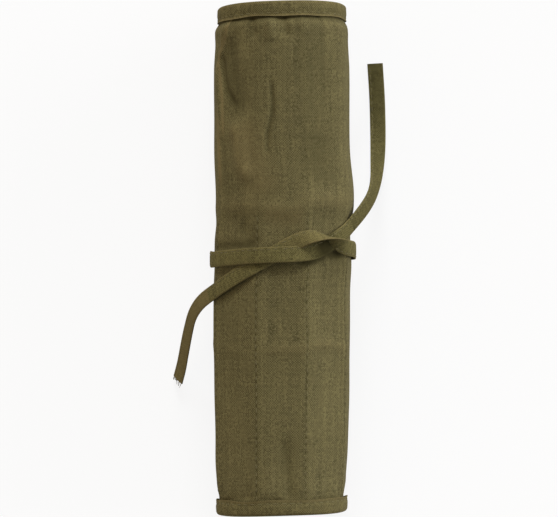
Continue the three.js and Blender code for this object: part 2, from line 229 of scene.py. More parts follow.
# Tie round the free edge: places out from the edge and up, facings, and s before the edge
EDGE_CORNER = (3.4 * MM, 3.0 * MM)
EDGE_UNDER = (0.6 * MM, 1.15 * MM)
EDGE_SHARE = 0.55
EDGE_BOW = np.array([-0.6, 0.0, -0.4]) * MM
EDGE_CORNER_FACING = np.array([-0.75, 0.0, -0.66])
EDGE_UNDER_FACING = np.array([-0.2, 0.0, -1.0])
EDGE_RUN = np.array([[-16.0], [-9.0], [-3.0], [-1.0]]) * MM

# Strap: the powers that square its cross-section, its stitch row, and the shift of its back on the cloth
STRAP_POWERS = (0.45, 0.65)
STRAP_ROW_DEPTH = 0.3
STRAP_ROW_WIDTH = 0.9 * MM
STRAP_ROW_LIFT = 0.36
STRAP_PITCHES = (0.5, 0.3, 0.85)
STRAP_BACK_SHIFT = 0.02

# Wear of the strap along its edges and on the knot's arch, painted light on the left tail and painted shade
# on the right tail, and painted shade under the knot
STRAP_EDGE_WEAR = 0.45
STRAP_EDGE_WIDTH = 0.9 * MM
ARCH_WEAR = 0.3
LEFT_TAIL_PAINTED_LIGHT = 0.8
RIGHT_TAIL_PAINTED_SHADE = -0.42
KNOT_PAINTED_SHADE = 1.4
KNOT_PAINTED_SHADE_X = 31.0 * MM
KNOT_PAINTED_SHADE_WIDTH = 7.0 * MM

# Seeds of the stitches: from strip to strip, from the strap's first length on, and of its tails
STRIP_SEEDS = 100
STRAP_SEED = 500
STRAP_SEEDS = 10
LEFT_TAIL_SEED = 700
RIGHT_TAIL_SEED = 800

# Frayed threads at the left tail's end: their number, form and spread, with reach and curl in mm
FRAY_THREADS = 15
FRAY_STEPS = 9
FRAY_SIDES = 5
FRAY_SEED = 77
FRAY_RADIUS = 0.22 * MM
FRAY_TAPER = 0.35
FRAY_REACH = (1.5, 5.0)
FRAY_CURL = (1.3, 0.9)
FRAY_ROOT = 0.6 * MM
FRAY_ACROSS = 0.45
FRAY_DEEP = 0.35
FRAY_PLAIN = 0.6
FRAY_BEAD = 1.6
FRAY_BEAD_AT = 0.85
FRAY_BEAD_WIDTH = 0.08

# Streaks in the cloth: scale of the noise across and along in 1/m, and its detail
SLUBS_LENGTHWAYS = ((430.0, 9.0, 1.0), 2.0)
SLUBS_CROSSWAYS = ((30.0, 480.0, 1.0), 2.0)
SLUB_BANDS = ((190.0, 15.0, 1.0), 1.0)
FADING = ((26.0, 15.0, 1.0), 4.0)
PATCHES = ((110.0, 110.0, 1.0), 2.0)
FUZZ = ((900.0, 900.0, 1.0), 3.0)
LENGTHWAYS_SHARE = 0.75
BANDS_SHARE = 0.7

# Dye of the cloth: what each effect adds to its tone, as factor and start, and its darkest and lightest
# shade; the weave's height adds painted light on the thread crowns
THREAD_PITCH = 0.88 * MM
THREAD_TONE = (0.3, -0.93)
WEFT_TONE = (3.4, -0.9)
GRAIN_TONE = 0.9
CROWN_PAINTED_LIGHT = 0.25
SLUBS_TONE = 1.0
FADING_TONE = 0.5
CLOTH_SHADES = (0.57, 1.45)

# Surface of the cloth: how wear and painted highlights rub it lighter and dirt and painted shade darken it,
# roughness, shine and bump
RUBBED_FUZZ = (1.3, -0.1)
SOIL_AND_SHADE_SHARE = 0.85
CLOTH_ROUGHNESS = (0.2, 0.8)
CLOTH_SHINE = 0.06
SLUBS_HEIGHT = 0.9
CLOTH_BUMP = (0.7, 0.2 * MM)

# Sewing thread: its uneven dye, its plies, its darkest and lightest shade, roughness, shine and bump
UNEVEN_DYE = ((700.0, 700.0, 700.0), 2.0)
UNEVEN_TONE = (0.9, -0.2)
PLY_SCALE = 900.0
PLY_DISTORTION = 1.5
PLY_TONE = 0.45
THREAD_SHADES = (0.65, 1.4)
THREAD_ROUGHNESS = (0.2, 0.6)
THREAD_SHINE = 0.1
THREAD_BUMP = (0.5, 0.1 * MM)

# Sockets of a Mix node that take its two colours and give the blended one
MIX_FIRST = 6
MIX_SECOND = 7
MIX_RESULT = 2

# Stage: the floor's finish and the share of plain white that the eye sees, lamps by their spread in degrees
# and the direction they stand in, and the camera's sensor in mm and reach in m
FLOOR_ROUGHNESS = 0.9
FLOOR_SHINE = 0.1
FLOOR_WHITE = 0.86
KEY_LAMP = (20.0, (0.0, 0.85, 0.53))
SIDE_LAMP = (60.0, (0.96, 0.28, 0.0))
FILL_LAMP = (90.0, (-0.9, 0.2, 0.4))
SENSOR_WIDTH = 36.0
CAMERA_REACH = 20.0

# Wrinkles on the top of the roll, and strokes of painted light and shade: height and half width in mm, share
# of wear and painted shading, and points x, y in mm
# A positive share lightens the cloth: rubbed wear on some ridges, painted highlights on crease ridges and
# painted light on lit patches. A negative share darkens it: painted shade in creases, painted shadows beside
# the strap and painted shade on patches turned from the light.
WRINKLES_AND_PAINTED_SHADING = [
    (-2.2, 2.8, -0.55, [(-44.9, 152), (-43.3, 134), (-41.0, 122), (-36.8, 113), (-33.9, 107)]),
    (-2.7, 10.0, -0.5, [(-40.5, 164), (-38.5, 146), (-34.5, 124), (-31, 98)]),
    (1.6, 3.0, 0.3, [(-47.4, 148), (-46.6, 132), (-45.2, 117), (-43.8, 103), (-43.0, 84)]),
    (0.0, 0.8, 1.9, [(-47.4, 160), (-46.6, 146), (-45.2, 134), (-43.2, 117), (-42.2, 103), (-41.5, 86)]),
    (0.0, 1.3, -0.6, [(-46.4, 131), (-44.5, 115), (-43.5, 98)]),
    (1.6, 2.2, 0.3, [(-40.6, 174), (-43.4, 162), (-45.8, 146)]),
    (0.0, 1.1, 2.2, [(-38.6, 178), (-40.8, 165), (-43.4, 157), (-46.2, 149), (-47.4, 140), (-47.6, 130)]),
    (-1.3, 1.5, -0.5, [(-7.7, 130), (-6.4, 111), (-6.9, 103), (-9.9, 91), (-11.3, 72)]),
    (2.5, 6.0, 0.3, [(-35.5, 101), (-31.5, 86), (-29.5, 66), (-22, 53)]),
    (0.0, 12.0, 0.55, [(-30, 102), (-24, 82), (-20, 60), (-10, 42)]),
    (0.0, 5.0, -0.22, [(-43.5, 92), (-41, 70), (-38, 42)]),
    (0.0, 7.0, 0.45, [(-15, 33), (0, 28), (16, 30)]),
    (0.0, 11.0, -0.18, [(26, 92), (26, 52)]),
    (0.5, 2.5, 1.4, [(-46.5, 112), (-45.5, 85), (-45, 50)]),
    (1.0, 6.5, 0.25, [(-46.8, 37), (-24, 37), (-12, 33), (8, 33), (17, 40), (48, 43)]),
    (3.0, 13.0, 0.0, [(38, 180), (39, 120), (38, 46)]),
    (0.0, 14.0, -0.27, [(21, 172), (22, 110), (22, 48)]),
    (-1.4, 6.0, -0.3, [(-33, 24), (-24, 17), (-18, 6)]),
    (-0.8, 3.0, -0.55, [(-50, 8.5), (-36, 9), (-16, 9.5)]),
    (-1.4, 3.2, -1.3, [(8, -5.5), (18, -2.5), (30, 3.0), (44, 1.5)]),
    (0.75, 4.2, 0.25, [(-19, -67), (15.3, -66), (21.9, -63), (35, -62), (48, -67)]),
    (0.35, 4.0, 0.0, [(-49, -60), (-23, -69)]),
    (0.0, 14.0, -0.2, [(-44, -24), (-34, -46), (-24, -50)]),
    (-1.1, 4.6, -0.25, [(1.5, -128), (4.0, -152), (5.5, -176)]),
    (-0.6, 2.6, -0.1, [(-25.6, -162), (-24.1, -175)]),
    (-0.5, 2.6, 0.0, [(-36.5, -161), (-38.7, -175)]),
    (-0.4, 2.6, 0.0, [(27.8, -155), (26.3, -175)]),
    (0.6, 4.0, 0.1, [(-8.8, -149), (-8, -173)]),
    (-1.5, 3.4, -0.3, [(-23.4, 176), (-19.7, 158)]),
    (-1.5, 3.2, -0.3, [(0.7, 176), (3.7, 158)]),
    (-0.7, 2.6, -0.1, [(26.3, 175), (29.2, 167)]),
    (-0.8, 3.0, 0.0, [(-36.5, 171), (-33.6, 158)]),
    (1.3, 4.0, 0.1, [(-10.2, 174), (-7.3, 155)]),
    (0.7, 4.5, 0.1, [(14.6, 174), (16.1, 159)]),
    (0.6, 5.0, 0.1, [(38.7, 172), (40.9, 153)]),
]

# Loose tails: out from the roll's side in mm, y in mm, share left of the fall from the seam
RIGHT_TAIL = np.array([
    [10.3, 36.5, 0.753], [16.2, 47, 0.546], [19.2, 58, 0.367], [20.7, 71, 0.216], [21.4, 86, 0.106],
    [21.4, 101, 0.037], [20.9, 121, 0.004], [19.4, 146, 0],
])
LEFT_TAIL = np.array([
    [10.3, -31.5, 0.719], [16, -40, 0.542], [19.2, -51, 0.38], [22.2, -65, 0.218], [24.6, -77, 0.085],
    [27.2, -86.5, 0],
])
RIGHT_TAIL_LOW = 1.3
LEFT_TAIL_LOW = 6.0
RIGHT_TAIL_FACING = (0.05, 0.0, 1.0)
LEFT_TAIL_FACING = (-0.75, 0.0, 0.65)


def length(name, description, default, lowest=0.0):
    """A length in metres for a property group."""
    return FloatProperty(
        name=name, description=description, default=default, min=lowest, precision=5, unit="LENGTH"
    )


def fraction(name, description, default, highest=1.0):
    """A fraction for a property group, from nought up to a highest one."""
    return FloatProperty(
        name=name, description=description, default=default,
        min=0.0, max=highest, precision=3, subtype="FACTOR",
    )


def light_strength(name, description, default):
    """A light's strength for a property group."""
    return FloatProperty(name=name, description=description, default=default, min=0.0)


def colour(name, description, default):
    """A linear colour for a property group."""
    return FloatVectorProperty(
        name=name, description=description, default=default, size=3, min=0.0, max=1.0, subtype="COLOR"
    )


class RollSizes(bpy.types.PropertyGroup):
    """Sizes of the rolled cloth."""

    core_height: length("Core height", "Height of the spiral's centre over the table", 52.3 * MM)
    arc_share: fraction("Arc share", "How round a panel is, 1 for the spiral's own curve", 0.77)
    fold_rounding: length("Fold rounding", "Spread of the rounding at each fold", 2.6 * MM)
    roll_length: length("Roll length", "Length over both hem bindings", 370 * MM)
    canvas: length("Canvas", "Thickness of the outer canvas", 1.2 * MM)
    pocket_cloth: length("Pocket cloth", "Thickness of the pocket fronts", 0.8 * MM)
    pocket_depth: length("Pocket depth", "Room in the middle of a pocket", 7.0 * MM)
    pocket_taper: length("Pocket taper", "Length over which a pocket opens from the bottom hem", 45 * MM)
    pocket_mouth: length("Pocket mouth", "Height of the pocket mouths over the middle", 31 * MM)
    sewn_gap: length("Sewn gap", "Room between the layers at a seam", 0.4 * MM)
    binding: length("Binding", "Thickness of the hem binding", 0.9 * MM)
    binding_height: length("Binding height", "Height of the hem binding", 11 * MM)
    lay_gap: length("Lay gap", "Room between cloths that lie on each other", 0.3 * MM)
    hem_draw: length("Hem draw", "How far the hems draw the cloth in", 1.4 * MM)
    hem_draw_length: length("Hem draw length", "Distance from the end over which the hem draws", 45 * MM)
    hem_sink: length("Hem sink", "How much further in the cloth lies under a binding", 2.1 * MM)
    seam_pinch: length("Seam pinch", "Depth of the furrow along a pocket seam", 0.6 * MM)
    hollow: length("Hollow", "How far the cloth sags between two pocket seams", 1.8 * MM)
    pucker: length("Pucker", "Height of the puckers along the hems", 0.5 * MM)
    sway: length("Sway", "Height of the cloth's broad waves", 0.35 * MM)
    widening: fraction("Widening", "How much wider the roll lies round its middle", 0.042, 0.1)
    drift: length("Drift", "How far the roll swerves sideways over the tie", 2.2 * MM)
    skew: fraction("Skew", "Slant of both hems across the roll", 0.028, 0.2)
    crown: length("Crown", "How far the hems fall back at the sides of the roll", 2.4 * MM)


class TieSizes(bpy.types.PropertyGroup):
    """Sizes of the tie strap."""

    width: length("Width", "Width of the strap", 11.5 * MM)
    thickness: length("Thickness", "Thickness of the folded strap", 1.6 * MM)
    groove: length("Groove", "Depth that the strap presses into the first panel", 2.2 * MM)
    low: length("Low", "Height of the strap's middle where it lies on the cloth", 1.1 * MM)
    left_y: length("Left place", "Place of the left band along the roll", 0.6 * MM)
    right_y: length("Right place", "Place of the right band along the roll", 6.3 * MM)
    rounding: length("Rounding", "Spread of the rounding along the strap", 2.4 * MM)
    edge_row: length("Edge row", "Distance of the stitch row from the strap's open edge", 1.7 * MM)


class StitchSizes(bpy.types.PropertyGroup):
    """Sizes of the sewing thread's stitches."""

    stitch: length("Stitch", "Length of one stitch", 3.9 * MM)
    pitch: length("Pitch", "Distance from stitch to stitch", 5.7 * MM)
    thread: length("Thread", "Width of the thread", 0.7 * MM)
    rise: length("Rise", "Height of a stitch over the cloth", 0.3 * MM)


class ClothColours(bpy.types.PropertyGroup):
    """Colours of the cloths and threads."""

    canvas: colour("Canvas", "Olive canvas", (0.109, 0.0930, 0.0405))
    pocket: colour("Pocket", "Lighter olive of the pocket fronts", (0.133, 0.112, 0.050))
    binding: colour("Binding", "Olive of the hem binding", (0.104, 0.088, 0.037))
    tie: colour("Tie", "Greener olive of the tie strap", (0.106, 0.092, 0.035))
    thread: colour("Thread", "Sewing thread", (0.126, 0.108, 0.050))
    # The worn colour serves rubbed wear and painted highlights, the soiled colour dirt and painted shade
    worn_and_lit: colour("Worn", "Worn high places", (0.180, 0.138, 0.060))
    soil_and_shade: colour("Soiled", "Dark needle holes and creases", (0.040, 0.034, 0.012))


class StageSizes(bpy.types.PropertyGroup):
    """Camera, light and floor."""

    camera_height: length("Camera height", "Height of the camera over the table", 4.1)
    camera_back: length("Camera back", "Distance of the camera towards the bottom hem", 0.13)
    aim_x: length("Aim x", "Place across the roll that the camera aims at", -0.3 * MM, -1.0)
    aim_y: length("Aim y", "Place along the roll that the camera aims at", 0.9 * MM, -1.0)
    aim_height: length("Aim height", "Height that the camera aims at", 54 * MM)
    lens: FloatProperty(
        name="Lens", description="Focal length in millimetres", default=360.2, min=10.0, unit="CAMERA"
    )
    key: light_strength("Key light", "Strength of the light from the top hem's end", 2.6)
    side: light_strength("Side light", "Strength of the light from the right", 4.6)
    fill: light_strength("Fill light", "Strength of the light from the left", 0.9)
    fill_shade: colour("Fill shade", "Colour of the light from the left", (1.0, 0.74, 0.48))
    sky: light_strength("Sky light", "Strength of the even light", 0.27)
    floor: colour("Floor", "Pale floor", (0.86, 0.86, 0.86))
    floor_size: length("Floor size", "Side of the floor", 6.0)


def smooth(t):
    """Smoothstep: 0 up to 0, 1 from 1 on, and 3 t^2 - 2 t^3 between."""
    t = np.clip(t, 0.0, 1.0)
    return t * t * (3.0 - 2.0 * t)


def bell(x, width):
    """Bell curve: e to the minus square of x over width."""
    return np.exp(-np.square(x / width))


def bells(x, table):
    """Sum of bell curves, each a height times a bell of the distance from its own place."""
    return sum(height * bell(x - place * MM, spread * MM) for height, place, spread in table)


def arc_lengths(line):
    """Distance along a polyline to each of its points."""
    return np.concatenate([[0.0], np.cumsum(np.linalg.norm(np.diff(line, axis=0), axis=1))])


def rounded(line, step, spread):
    """Running mean of evenly spaced points with bell weights; both ends are first carried on straight."""
    reach = max(1, int(math.ceil(3.0 * spread / step)))
    weights = bell(np.arange(-reach, reach + 1) * step, spread * math.sqrt(2.0))
    weights /= weights.sum()
    steps = np.arange(1, reach + 1)[:, None]
    before = line[0] - steps[::-1] * (line[1] - line[0])
    after = line[-1] + steps * (line[-1] - line[-2])
    whole = np.vstack([before, line, after])
    columns = [np.convolve(whole[:, i], weights, mode="valid") for i in range(line.shape[1])]
    return np.stack(columns, axis=1)


def evenly_spaced(line, step):
    """The columns of a polyline at even distances along its first three columns, or its first two."""
    places = line[:, : min(3, line.shape[1])]
    along = arc_lengths(places)
    count = max(3, int(round(along[-1] / step)) + 1)
    even = np.linspace(0.0, along[-1], count)
    return np.stack([np.interp(even, along, line[:, i]) for i in range(line.shape[1])], axis=1)


def unit(vectors):
    """Vectors divided by their lengths."""
    return vectors / np.maximum(np.linalg.norm(vectors, axis=-1, keepdims=True), 1e-12)


def seam_points():
    """Seams of the strip in x and z: its free edge, the eleven folds from the joints, and its inner end."""
    folds = np.array([JOINTS[name]["pos_m"] for name in SEAM_JOINTS])[:, [0, 2]]
    free_edge = np.array([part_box("canvas_01")[0][0], 0.0])
    chord = folds[-1] - folds[-2]
    turn = math.radians(JOINTS[SEAM_JOINTS[-1]]["range_deg"][1])
    along = unit(np.array([
        chord[0] * math.cos(turn) - chord[1] * math.sin(turn),
        chord[0] * math.sin(turn) + chord[1] * math.cos(turn),
    ]))
    inner_end = folds[-1] + along * np.linalg.norm(chord)
    return np.vstack([free_edge, folds, inner_end])


def panel_arc(start, end, bulge):
    """Circular arc between two seams: sin and cos of an even turn, standing out from the chord by bulge."""
    u = np.linspace(0.0, 1.0, ARC_POINTS)[:, None]
    chord = end - start
    width = np.linalg.norm(chord)
    if bulge == 0.0:
        return start + u * chord
    half = 2.0 * math.atan2(2.0 * bulge, width)
    radius = width / 2.0 / math.sin(half)
    turn = (2.0 * u - 1.0) * half
    along = chord / width
    outward = np.array([along[1], -along[0]])
    on_chord = start + along * (width / 2.0 + radius * np.sin(turn))
    return on_chord + outward * radius * (np.cos(turn) - math.cos(half))


def roll_section(scene):
    """Outer face of the rolled cloth as a curve of arc length in x and z.

    Each panel is an arc between its seams, and a running mean rounds the folds. Inward is the
    tangent turned a quarter to the left.
    """
    sizes = scene.roll_sizes
    seams = seam_points()
    centre = np.array([(seams[0, 0] + seams[1, 0]) / 2.0, sizes.core_height])
    radii = np.linalg.norm(seams - centre, axis=1)
    widths = np.linalg.norm(np.diff(seams, axis=0), axis=1)
    bulges = sizes.arc_share * widths ** 2 / (4.0 * (radii[1:] + radii[:-1]))
    bulges[0] = 0.0
    arcs = [panel_arc(seams[i], seams[i + 1], bulges[i]) for i in range(PANELS)]
    line = np.vstack([arcs[0]] + [arc[1:] for arc in arcs[1:]])
    marks = np.concatenate([[0.0], np.cumsum([arc_lengths(arc)[-1] for arc in arcs])])
    even = evenly_spaced(line, SECTION_STEP)
    step = marks[-1] / (len(even) - 1)
    curve = rounded(even, step, sizes.fold_rounding)
    tangent = unit(np.gradient(curve, axis=0))
    return {
        "s": np.linspace(0.0, marks[-1], len(curve)),
        "x": curve[:, 0],
        "z": curve[:, 1],
        "inward_x": -tangent[:, 1],
        "inward_z": tangent[:, 0],
        "seams": marks,
        "middles": (marks[1:] + marks[:-1]) / 2.0,
        "middle_x": (curve[:, 0].min() + curve[:, 0].max()) / 2.0,
        "sizes": sizes,
        "tie": scene.tie_sizes,
        "stitch": scene.stitch_sizes,
    }


def upper_side(height):
    """How far up the roll a height is: nought at its sides, one on its upper side, a smoothstep between."""
    return smooth((height - UPPER_FROM) / UPPER_RISE)


def drawn_in(sizes, y, height):
    """Draw of the hems: full under the binding, a step out past it, and the rest over the draw length.

    At the bottom hem it fades away with the height, so that the upper side runs on flat to the binding.
    """
    flat = sizes.binding_height + sizes.lay_gap
    past = sizes.roll_length / 2.0 - np.abs(y) - flat
    top_step = sizes.hem_sink * (1.0 - smooth(past / TOP_STEP_LENGTH + TOP_STEP_START))
    bottom_step = BOTTOM_STEP_SHARE * sizes.hem_sink * (1.0 - smooth(past / BOTTOM_STEP_LENGTH))
    draw = sizes.hem_draw * (1.0 - smooth(past / (sizes.hem_draw_length - flat)))
    low = 1.0 - BOTTOM_FADE * upper_side(height)
    return np.where(y > 0.0, top_step + draw, (bottom_step + draw) * low)


def on_roll(section, s, y, depth):
    """Point of a cloth: the section at s, moved inwards by depth and the hem's draw, at y along the roll.

    The roll lies a little wider round its middle and at the tie, and swerves sideways by bell curves of y.
    Both its ends slant, so that y goes up with x there, and round off towards the sides by a sixth power.
    """
    sizes = section["sizes"]
    s, y, depth = np.broadcast_arrays(s, y, depth)
    height = np.interp(s, section["s"], section["z"])
    inwards = depth + drawn_in(sizes, y, height)
    x = np.interp(s, section["s"], section["x"]) + inwards * np.interp(s, section["s"], section["inward_x"])
    z = height + inwards * np.interp(s, section["s"], section["inward_z"])
    off = x - section["middle_x"]
    wider = off * (sizes.widening * bells(y, WIDE_BELL) + bells(y, TIE_BULGE))
    swerve = sizes.drift * (bells(y, SWERVE_BELLS) - SWERVE_BACK)
    lying = x + (wider + swerve) * smooth(z / LOOSE_HEIGHT)
    half_width = (section["x"].max() - section["x"].min()) / 2.0
    rounding = -np.sign(y) * sizes.crown * (off / half_width) ** 6
    ends = smooth((np.abs(y) - SLANT_FROM) / SLANT_LENGTH)
    return np.stack([lying, y + (sizes.skew * off + rounding) * ends, z], axis=-1)


def outward_at(section, s):
    """Outward direction of the cloth at s."""
    s = np.asarray(s, dtype=float)
    x = -np.interp(s, section["s"], section["inward_x"])
    z = -np.interp(s, section["s"], section["inward_z"])
    return unit(np.stack([x, np.zeros_like(x), z], axis=-1))


def seam_distance(section, s):
    """Distance along s to the nearest of the eleven pocket seams."""
    return np.abs(s[..., None] - section["seams"][1:-1]).min(axis=-1)


def panel_share(section, s):
    """Share of the way across its panel, 0 at one seam and 1 at the next."""
    seams = section["seams"]
    panel = np.clip(np.searchsorted(seams, s, side="right") - 1, 0, PANELS - 1)
    return (s - seams[panel]) / (seams[panel + 1] - seams[panel])


def waves(s, y, count, shortest, longest, seed):
    """Sum of plane sine waves of seeded directions, lengths and phases, with a mean square of one half."""
    rng = np.random.default_rng(seed)
    lengths = rng.uniform(shortest, longest, count)
    angles = rng.uniform(0.0, math.pi, count)
    phases = rng.uniform(0.0, 2.0 * math.pi, count)
    total = np.zeros(np.broadcast(s, y).shape)
    for wave, angle, phase in zip(lengths, angles, phases):
        total += np.sin(2.0 * math.pi * (s * math.cos(angle) + y * math.sin(angle)) / wave + phase)
    return total / math.sqrt(count)


def groove_share(section, s):
    """How much of the tie's groove there is at s: whole under the first panel, easing out past its fold."""
    return 1.0 - smooth((s - section["seams"][1] + GROOVE_BEFORE) / GROOVE_EASE)


def tie_groove(section, s, y):
    """Depth of the groove that the strap presses into the first panel, with slanting sides."""
    tie = section["tie"]
    middle = (tie.left_y + tie.right_y) / 2.0
    half = tie.width / 2.0 + abs(tie.right_y - tie.left_y) / 2.0 + GROOVE_ROOM
    slant = 2.0 * tie.groove
    return tie.groove * smooth((half + slant - np.abs(y - middle)) / slant) * groove_share(section, s)


def over_top(section):
    """The part of the section seen from above: s, and x from the roll's middle, falling to the left side."""
    outer = section["s"] <= section["seams"][8]
    first = np.argmax(section["x"][outer])
    last = np.argmin(section["x"][outer])
    return section["s"][first:last], section["x"][first:last] - section["middle_x"]


def stroke(section, s, y, points, width):
    """How near the cloth is to a drawn line: a bell curve of the distance to it, easing out at its ends."""
    top_s, top_x = over_top(section)
    points = np.array(points) * MM
    line = np.stack([np.interp(-points[:, 0], -top_x, top_s), points[:, 1]], axis=-1)
    reached = arc_lengths(line)
    nearest = np.full(s.shape, np.inf)
    share = np.zeros(s.shape)
    for i in range(len(line) - 1):
        step = line[i + 1] - line[i]
        size = reached[i + 1] - reached[i]
        t = np.clip(((s - line[i, 0]) * step[0] + (y - line[i, 1]) * step[1]) / size ** 2, 0.0, 1.0)
        distance = np.hypot(s - line[i, 0] - t * step[0], y - line[i, 1] - t * step[1])
        closer = distance < nearest
        nearest = np.where(closer, distance, nearest)
        share = np.where(closer, (reached[i] + t * size) / reached[-1], share)
    nearness = bell(nearest, width)
    for from_end in (share, 1.0 - share):
        nearness = nearness * smooth(from_end / STROKE_EASE + STROKE_START)
    return nearness


def from_binding(sizes, y):
    """Distance along the roll from the inner edge of the nearer binding."""
    return sizes.roll_length / 2.0 - sizes.binding_height - np.abs(y)


def seam_bottom(section):
    """Place along the roll of a pocket seam's first stitch."""
    sizes = section["sizes"]
    return -sizes.roll_length / 2.0 + sizes.binding_height + SEAM_START


def needle_holes(section, y):
    """One at the gaps between a pocket seam's stitches and nought at their middles: a sine to the sixth."""
    turns = (y - seam_bottom(section)) / section["stitch"].pitch
    return np.sin(math.pi * turns) ** 6


def sewn_share(section, y):
    """One where the pockets are sewn to the canvas, easing to nought over their mouths."""
    return smooth((section["sizes"].pocket_mouth - y) / MOUTH_EASE + 0.5)


def relief_limit(section, s, y):
    """Height that the cloth may reach: little under the strap, more beside it, none near the first panel."""
    beside = smooth((np.abs(y - STRAP_MIDDLE) - STRAP_CLEAR) / STRAP_EASE)
    _, first, second = section["seams"][:3]
    return (UNDER_STRAP + BESIDE_STRAP * beside) * smooth((s - first - FLAT_PAST_FOLD) / (second - first))


def cloth_relief(section, s, y):
    """Height of the cloth's own forms over the section.

    A furrow along each pocket seam that is deeper at the needle holes, a hollow between seams, puckers
    that fade away from the hems, a puff past each hem behind a recess, broad waves, a swell on both sides of
    the tie, and the drawn wrinkles. A soft minimum, the limit less the log of one plus e to the room left
    under it, keeps the cloth under the strap and flat enough for the table.
    """
    sizes = section["sizes"]
    sewn = sewn_share(section, y)
    pinch = 1.0 - FURROW_HOLES + FURROW_HOLES * needle_holes(section, y)
    furrow = -sizes.seam_pinch * bell(seam_distance(section, s), FURROW_WIDTH) * sewn * pinch
    u = panel_share(section, s)
    hollow = -sizes.hollow * 4.0 * u * (1.0 - u) * sewn
    from_band = from_binding(sizes, y)
    fade = np.exp(-np.clip(from_band, 0.0, None) / PUCKER_REACH) * smooth(from_band / PUCKER_START)
    ripples = waves(s, y * FINE_STRETCH, *FINE_PUCKERS) + waves(s, y * BROAD_STRETCH, *BROAD_PUCKERS)
    hem = np.where(y > 0.0, 1.0, BOTTOM_PUFF)
    side = SIDE_RECESS + (1.0 - SIDE_RECESS) * upper_side(np.interp(s, section["s"], section["z"]))
    puff = bells(from_band, HEM_PUFF) * hem - bells(from_band, HEM_RECESS) * hem ** 3 * side
    sway = sizes.sway * waves(s, y, *SWAY_WAVES) * smooth((from_band - SWAY_START) / SWAY_EASE)
    free = furrow + hollow + sizes.pucker * fade * ripples + sway + MM * (puff + bells(y, SWELL_BELLS))
    for height, width, _, points in WRINKLES_AND_PAINTED_SHADING:
        free = free + height * MM * stroke(section, s, y, points, width * MM)
    limit = relief_limit(section, s, y)
    raised = limit - SOFT_LIMIT * np.logaddexp(0.0, (limit - free) / SOFT_LIMIT)
    return raised * (1.0 - groove_share(section, s))


def cloth_wear_and_shading(section, s, y):
    """Wear and painted shading of the canvas: lighter along drawn ridges, partly rubbed wear and partly
    painted highlight; painted shade in creases, beside the strap and on patches; seam lines and needle holes
    darker, part dirt and part painted shade; painted shadow past the hems.
    """
    # Seam lines darkened, most at the needle holes: part dirt and part painted shade
    holes = SEAM_DARK_THREAD + SEAM_DARK_HOLES * needle_holes(section, y)
    wear_and_shading = -SEAM_DARK * bell(seam_distance(section, s), SEAM_DARK_WIDTH) * sewn_share(section, y) * holes
    from_band = from_binding(section["sizes"], y)
    # Painted shadow of the bindings on the canvas just past each hem
    wear_and_shading = wear_and_shading - np.where(y > 0.0, bells(from_band, TOP_HEM_PAINTED_SHADOW), bells(from_band, BOTTOM_HEM_PAINTED_SHADOW))
    # Each stroke adds its share: rubbed wear and painted highlights where positive, painted shade where
    # negative
    for _, width, share, points in WRINKLES_AND_PAINTED_SHADING:
        wear_and_shading = wear_and_shading + share * stroke(section, s, y, points, width * MM)
    return np.clip(wear_and_shading, -1.0, 1.0)


def grid_quads(rows, columns, first=0):
    """Corner numbers of the quads between neighbouring rows and columns of a grid of points."""
    i, j = np.meshgrid(np.arange(rows - 1), np.arange(columns - 1), indexing="ij")
    corner = first + i * columns + j
    return np.stack([corner, corner + columns, corner + columns + 1, corner + 1], axis=-1).reshape(-1, 4)


def rim_of(rows, columns):
    """Numbers of the points round the rim of a grid, in order."""
    index = np.arange(rows * columns).reshape(rows, columns)
    return np.concatenate([index[0, :-1], index[:-1, -1], index[-1, :0:-1], index[:0:-1, 0]])


def turned_outwards(points, quads):
    """The quads with their order reversed if the volume they enclose comes out negative."""
    a, b, c, d = (points[quads[:, i]] for i in range(4))
    volume = np.einsum("ij,ij->i", a, np.cross(b, c)).sum() + np.einsum("ij,ij->i", a, np.cross(c, d)).sum()
    return quads if volume > 0.0 else quads[:, ::-1]


def slab(outer, inner, uv):
    """Closed cloth between two grids of points, joined along the rim."""
    rows, columns = outer.shape[:2]
    count = rows * columns
    points = np.concatenate([outer.reshape(-1, 3), inner.reshape(-1, 3)])
    rim = rim_of(rows, columns)
    following = np.roll(rim, -1)
    edge = np.stack([rim, rim + count, following + count, following], axis=-1)
    quads = np.concatenate([grid_quads(rows, columns), grid_quads(rows, columns, count)[:, ::-1], edge])
    flat = uv.reshape(-1, 2)
    return points, turned_outwards(points, quads), np.concatenate([flat, flat])


def tube(rings, uv):
    """Closed tube through rings of points, with a fan over each end."""
    rows, columns = rings.shape[:2]
    index = np.arange(rows * columns).reshape(rows, columns)
    ahead = np.roll(index, -1, axis=1)
    sides = np.stack([index[:-1], index[1:], ahead[1:], ahead[:-1]], axis=-1).reshape(-1, 4)
    first, last = rows * columns, rows * columns + 1
    points = np.concatenate([rings.reshape(-1, 3), rings[[0, -1]].mean(axis=1)])
    ends = np.concatenate([
        np.stack([index[0], ahead[0], np.full(columns, first), np.full(columns, first)], axis=-1),
        np.stack([ahead[-1], index[-1], np.full(columns, last), np.full(columns, last)], axis=-1),
    ])
    flat = np.concatenate([uv.reshape(-1, 2), uv[[0, -1]].mean(axis=1)])
    return points, turned_outwards(points, np.concatenate([sides, ends])), flat


